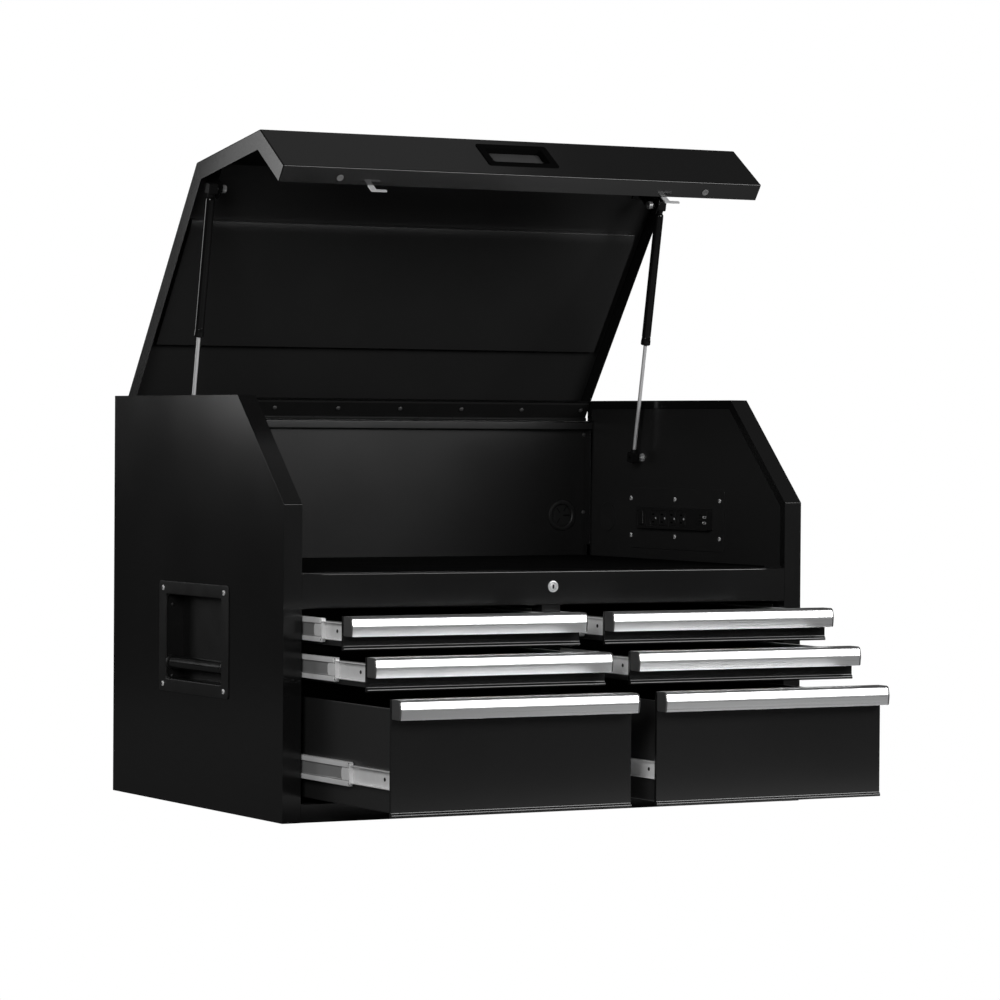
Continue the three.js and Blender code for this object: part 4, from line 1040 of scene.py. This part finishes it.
# Gas struts, drawn along their own axis from the lower pivot
strut = metres(
    upperX=410, tubeShort=12.8, tubeLength=222,
    tubeFoot=[(3.3, 1), (6.6, 0), (7.6, 0.8), (8, 1.6), (8, 8), (7.5, 9), (7.5, 12),
              (7.1, 12.8), (7.1, 14), (7.5, 14.8)],
    tubeHead=[(7.5, -5), (6.9, -2.2), (5.2, -0.4), (4, 0), (3.3, -1)], rodRadius=3, rodLow=8,
    rodInside=29, rodEase=0.4, socketRadius=8.5, socketHalf=7.5, socketCorner=2.6,
    socketSteps=[(0, 13.8), (0.5, 0.7), (0.9, 0.5)],
    stem=[(0, 2), (6.4, 2), (6.4, 9), (5.6, 11), (5.6, 13), (5, 14), (0, 14)], wall=427.95,
    lowerStud=[(0, 0), (7, 0), (7, 2.4), (6.2, 3), (3, 3), (3, 16), (4.2, 17.4), (4.6, 19),
               (4.2, 20.6), (3, 21.6), (0, 22)],
)
backRivet = metres(x=419, y=309.75, z=(579, 446), size=(3.4, 1.5))


def addStrut(side, hand):
    s = strut
    pivot = next(row for row in frame["joints"] if row["name"] == f"{side}_strut_pivot")
    slideRow = next(row for row in frame["joints"] if row["name"] == f"{side}_strut_slide")
    low = Vector(pivot["pos_m"])
    lean = Vector(slideRow["axis"])
    high = opening @ Vector((hand * s["upperX"], stud["y"], stud["z"]))
    tubeTop = (high - low).length - s["tubeShort"]
    tubeLow = tubeTop - s["tubeLength"]
    rodTop = tubeLow + s["rodInside"]
    wide, ease = s["rodRadius"], s["rodEase"]
    profile = [(0, s["rodLow"]), (wide, s["rodLow"]), (wide, rodTop - ease), (wide - ease, rodTop),
               (0, rodTop)]
    rod = turned(profile, low, lean, 28, (1, 0, 0))
    addPiece(f"{side}_strut_shaft", rod, steelRod, f"{side}_strut_rod",
             (f"{side}_strut_rod",))
    profile = [(radius, tubeLow + height) for radius, height in s["tubeFoot"]]
    profile += [(radius, tubeTop + height) for radius, height in s["tubeHead"]]
    tube = turned(profile + profile[:1], low, lean, 40, (1, 0, 0))
    addPiece(f"{side}_strut_tube", tube, tubeEnamel, f"{side}_strut_cylinder",
             (f"{side}_strut_cylinder",))
    for place, way, centre, body in (("lower", 1, low, f"{side}_strut_rod"),
                                     ("upper", -1, high, f"{side}_strut_cylinder")):
        drum = plate(s["socketRadius"], s["socketRadius"], s["socketCorner"], s["socketSteps"],
                     centre - Vector((hand * s["socketHalf"], 0, 0)), (hand, 0, 0), lean)
        stem = turned(s["stem"], centre, lean * way, 28, (1, 0, 0))
        addPiece(f"{side}_{place}_socket", merged([drum, stem]), dullHingeCoat, body)
    lowerStud = turned(s["lowerStud"], (hand * s["wall"], low.y, low.z), (-hand, 0, 0), 24)
    addPiece(f"{side}_lower_stud", lowerStud, zinc, "cabinet")
    rivets = [rivet((hand * backRivet["x"], backRivet["y"], z), (0, -1, 0), *backRivet["size"])
              for z in backRivet["z"]]
    addPiece(f"{side}_back_rivets", merged(rivets), capPlastic, "cabinet")


for side, hand in columns:
    addStrut(side, hand)
print("hinge and struts made")


# Floor, light and surroundings
paper = {
    "size": 30,
    "drop": 0.3 * mm,
    "shade": 0.06,
    "roughness": 0.9,
    # stretch, middle, reach, end, glow and dim shape the painted pool of glow
    "stretch": (0.35, 1, 1),
    "middle": (0.16, -0.8, 0),
    "reach": 0.1,
    "end": 0.42,
    "glow": 0.6,
    "dim": 0.02,
}


def glowingFloor(name):
    # seen directly it glows plain white; to other rays it is dark paper with a painted pool of glow
    # in front, which throws light on the chest
    material, tree, shader = newMaterial(name, grey(paper["shade"]), paper["roughness"])
    place = tree.nodes.new("ShaderNodeTexCoord")
    away = tree.nodes.new("ShaderNodeVectorMath")
    away.operation = "DISTANCE"
    away.inputs[1].default_value = paper["middle"]
    mapping = tree.nodes.new("ShaderNodeMapping")
    mapping.inputs["Scale"].default_value = paper["stretch"]
    tree.links.new(place.outputs["Object"], mapping.inputs["Vector"])
    tree.links.new(mapping.outputs["Vector"], away.inputs[0])
    pool = ranged(tree, away.outputs["Value"], paper["reach"], paper["end"], paper["glow"],
                  paper["dim"])
    tree.links.new(pool, shader.inputs["Emission Strength"])
    shader.inputs["Emission Color"].default_value = (1, 1, 1, 1)
    glow = tree.nodes.new("ShaderNodeEmission")
    path = tree.nodes.new("ShaderNodeLightPath")
    mix = tree.nodes.new("ShaderNodeMixShader")
    tree.links.new(path.outputs["Is Camera Ray"], mix.inputs["Fac"])
    tree.links.new(shader.outputs["BSDF"], mix.inputs[1])
    tree.links.new(glow.outputs["Emission"], mix.inputs[2])
    tree.links.new(mix.outputs["Shader"], tree.nodes["Material Output"].inputs["Surface"])
    return material


floor = bpy.data.meshes.new("floor")
ground = bmesh.new()
bmesh.ops.create_grid(ground, x_segments=1, y_segments=1, size=paper["size"])
bmesh.ops.translate(ground, vec=(0, 0, -paper["drop"]), verts=ground.verts)
ground.to_mesh(floor)
ground.free()
floorObject = bpy.data.objects.new("floor", floor)
scene.collection.objects.link(floorObject)
floor.materials.append(glowingFloor("pale_paper"))


def addSoftbox(name, place, target, size, power):
    data = bpy.data.lights.new(name, "AREA")
    data.shape = "RECTANGLE"
    data.size, data.size_y = size
    data.energy = power
    lamp = bpy.data.objects.new(name, data)
    scene.collection.objects.link(lamp)
    lamp.visible_camera = False
    aim = (Vector(target) - Vector(place)).to_track_quat("-Z", "Y")
    lamp.matrix_world = Matrix.Translation(place) @ aim.to_matrix().to_4x4()


# name: (place, target, size, power)
softboxes = {
    "key_softbox": ((1.5, -2.9, 1.55), (0.1, -0.5, 0.25), (1.9, 1.1), 58),
    "fill_softbox": ((-2.4, -2.6, 1.5), (0.1, -0.3, 0.35), (1.2, 1.2), 42),
    "rear_softbox": ((-2.2, 2.2, 1.2), (-0.3, 0, 0.4), (1.2, 1.2), 11),
    "top_softbox": ((0.2, 0.3, 2.4), (0.2, 0.3, 0), (1.3, 1.1), 0.6),
}
for name, settings in softboxes.items():
    addSoftbox(name, *settings)
skySpan = (0.2, 0.9)
skyLevels = (0.03, 0.07)


def addSurroundings():
    # dim all round, and brighter overhead
    world = bpy.data.worlds.new("surroundings")
    world.use_nodes = True
    scene.world = world
    tree = world.node_tree
    place = tree.nodes.new("ShaderNodeTexCoord")
    split = tree.nodes.new("ShaderNodeSeparateXYZ")
    tree.links.new(place.outputs["Generated"], split.inputs["Vector"])
    total = ranged(tree, split.outputs["Z"], *skySpan, *skyLevels)
    path = tree.nodes.new("ShaderNodeLightPath")
    mix = tree.nodes.new("ShaderNodeMixRGB")
    mix.inputs["Color2"].default_value = (1, 1, 1, 1)
    tree.links.new(path.outputs["Is Camera Ray"], mix.inputs["Fac"])
    tree.links.new(total, mix.inputs["Color1"])
    tree.links.new(mix.outputs["Color"], tree.nodes["Background"].inputs["Color"])


addSurroundings()
scene.view_settings.view_transform = "Standard"
print("stage and light made")
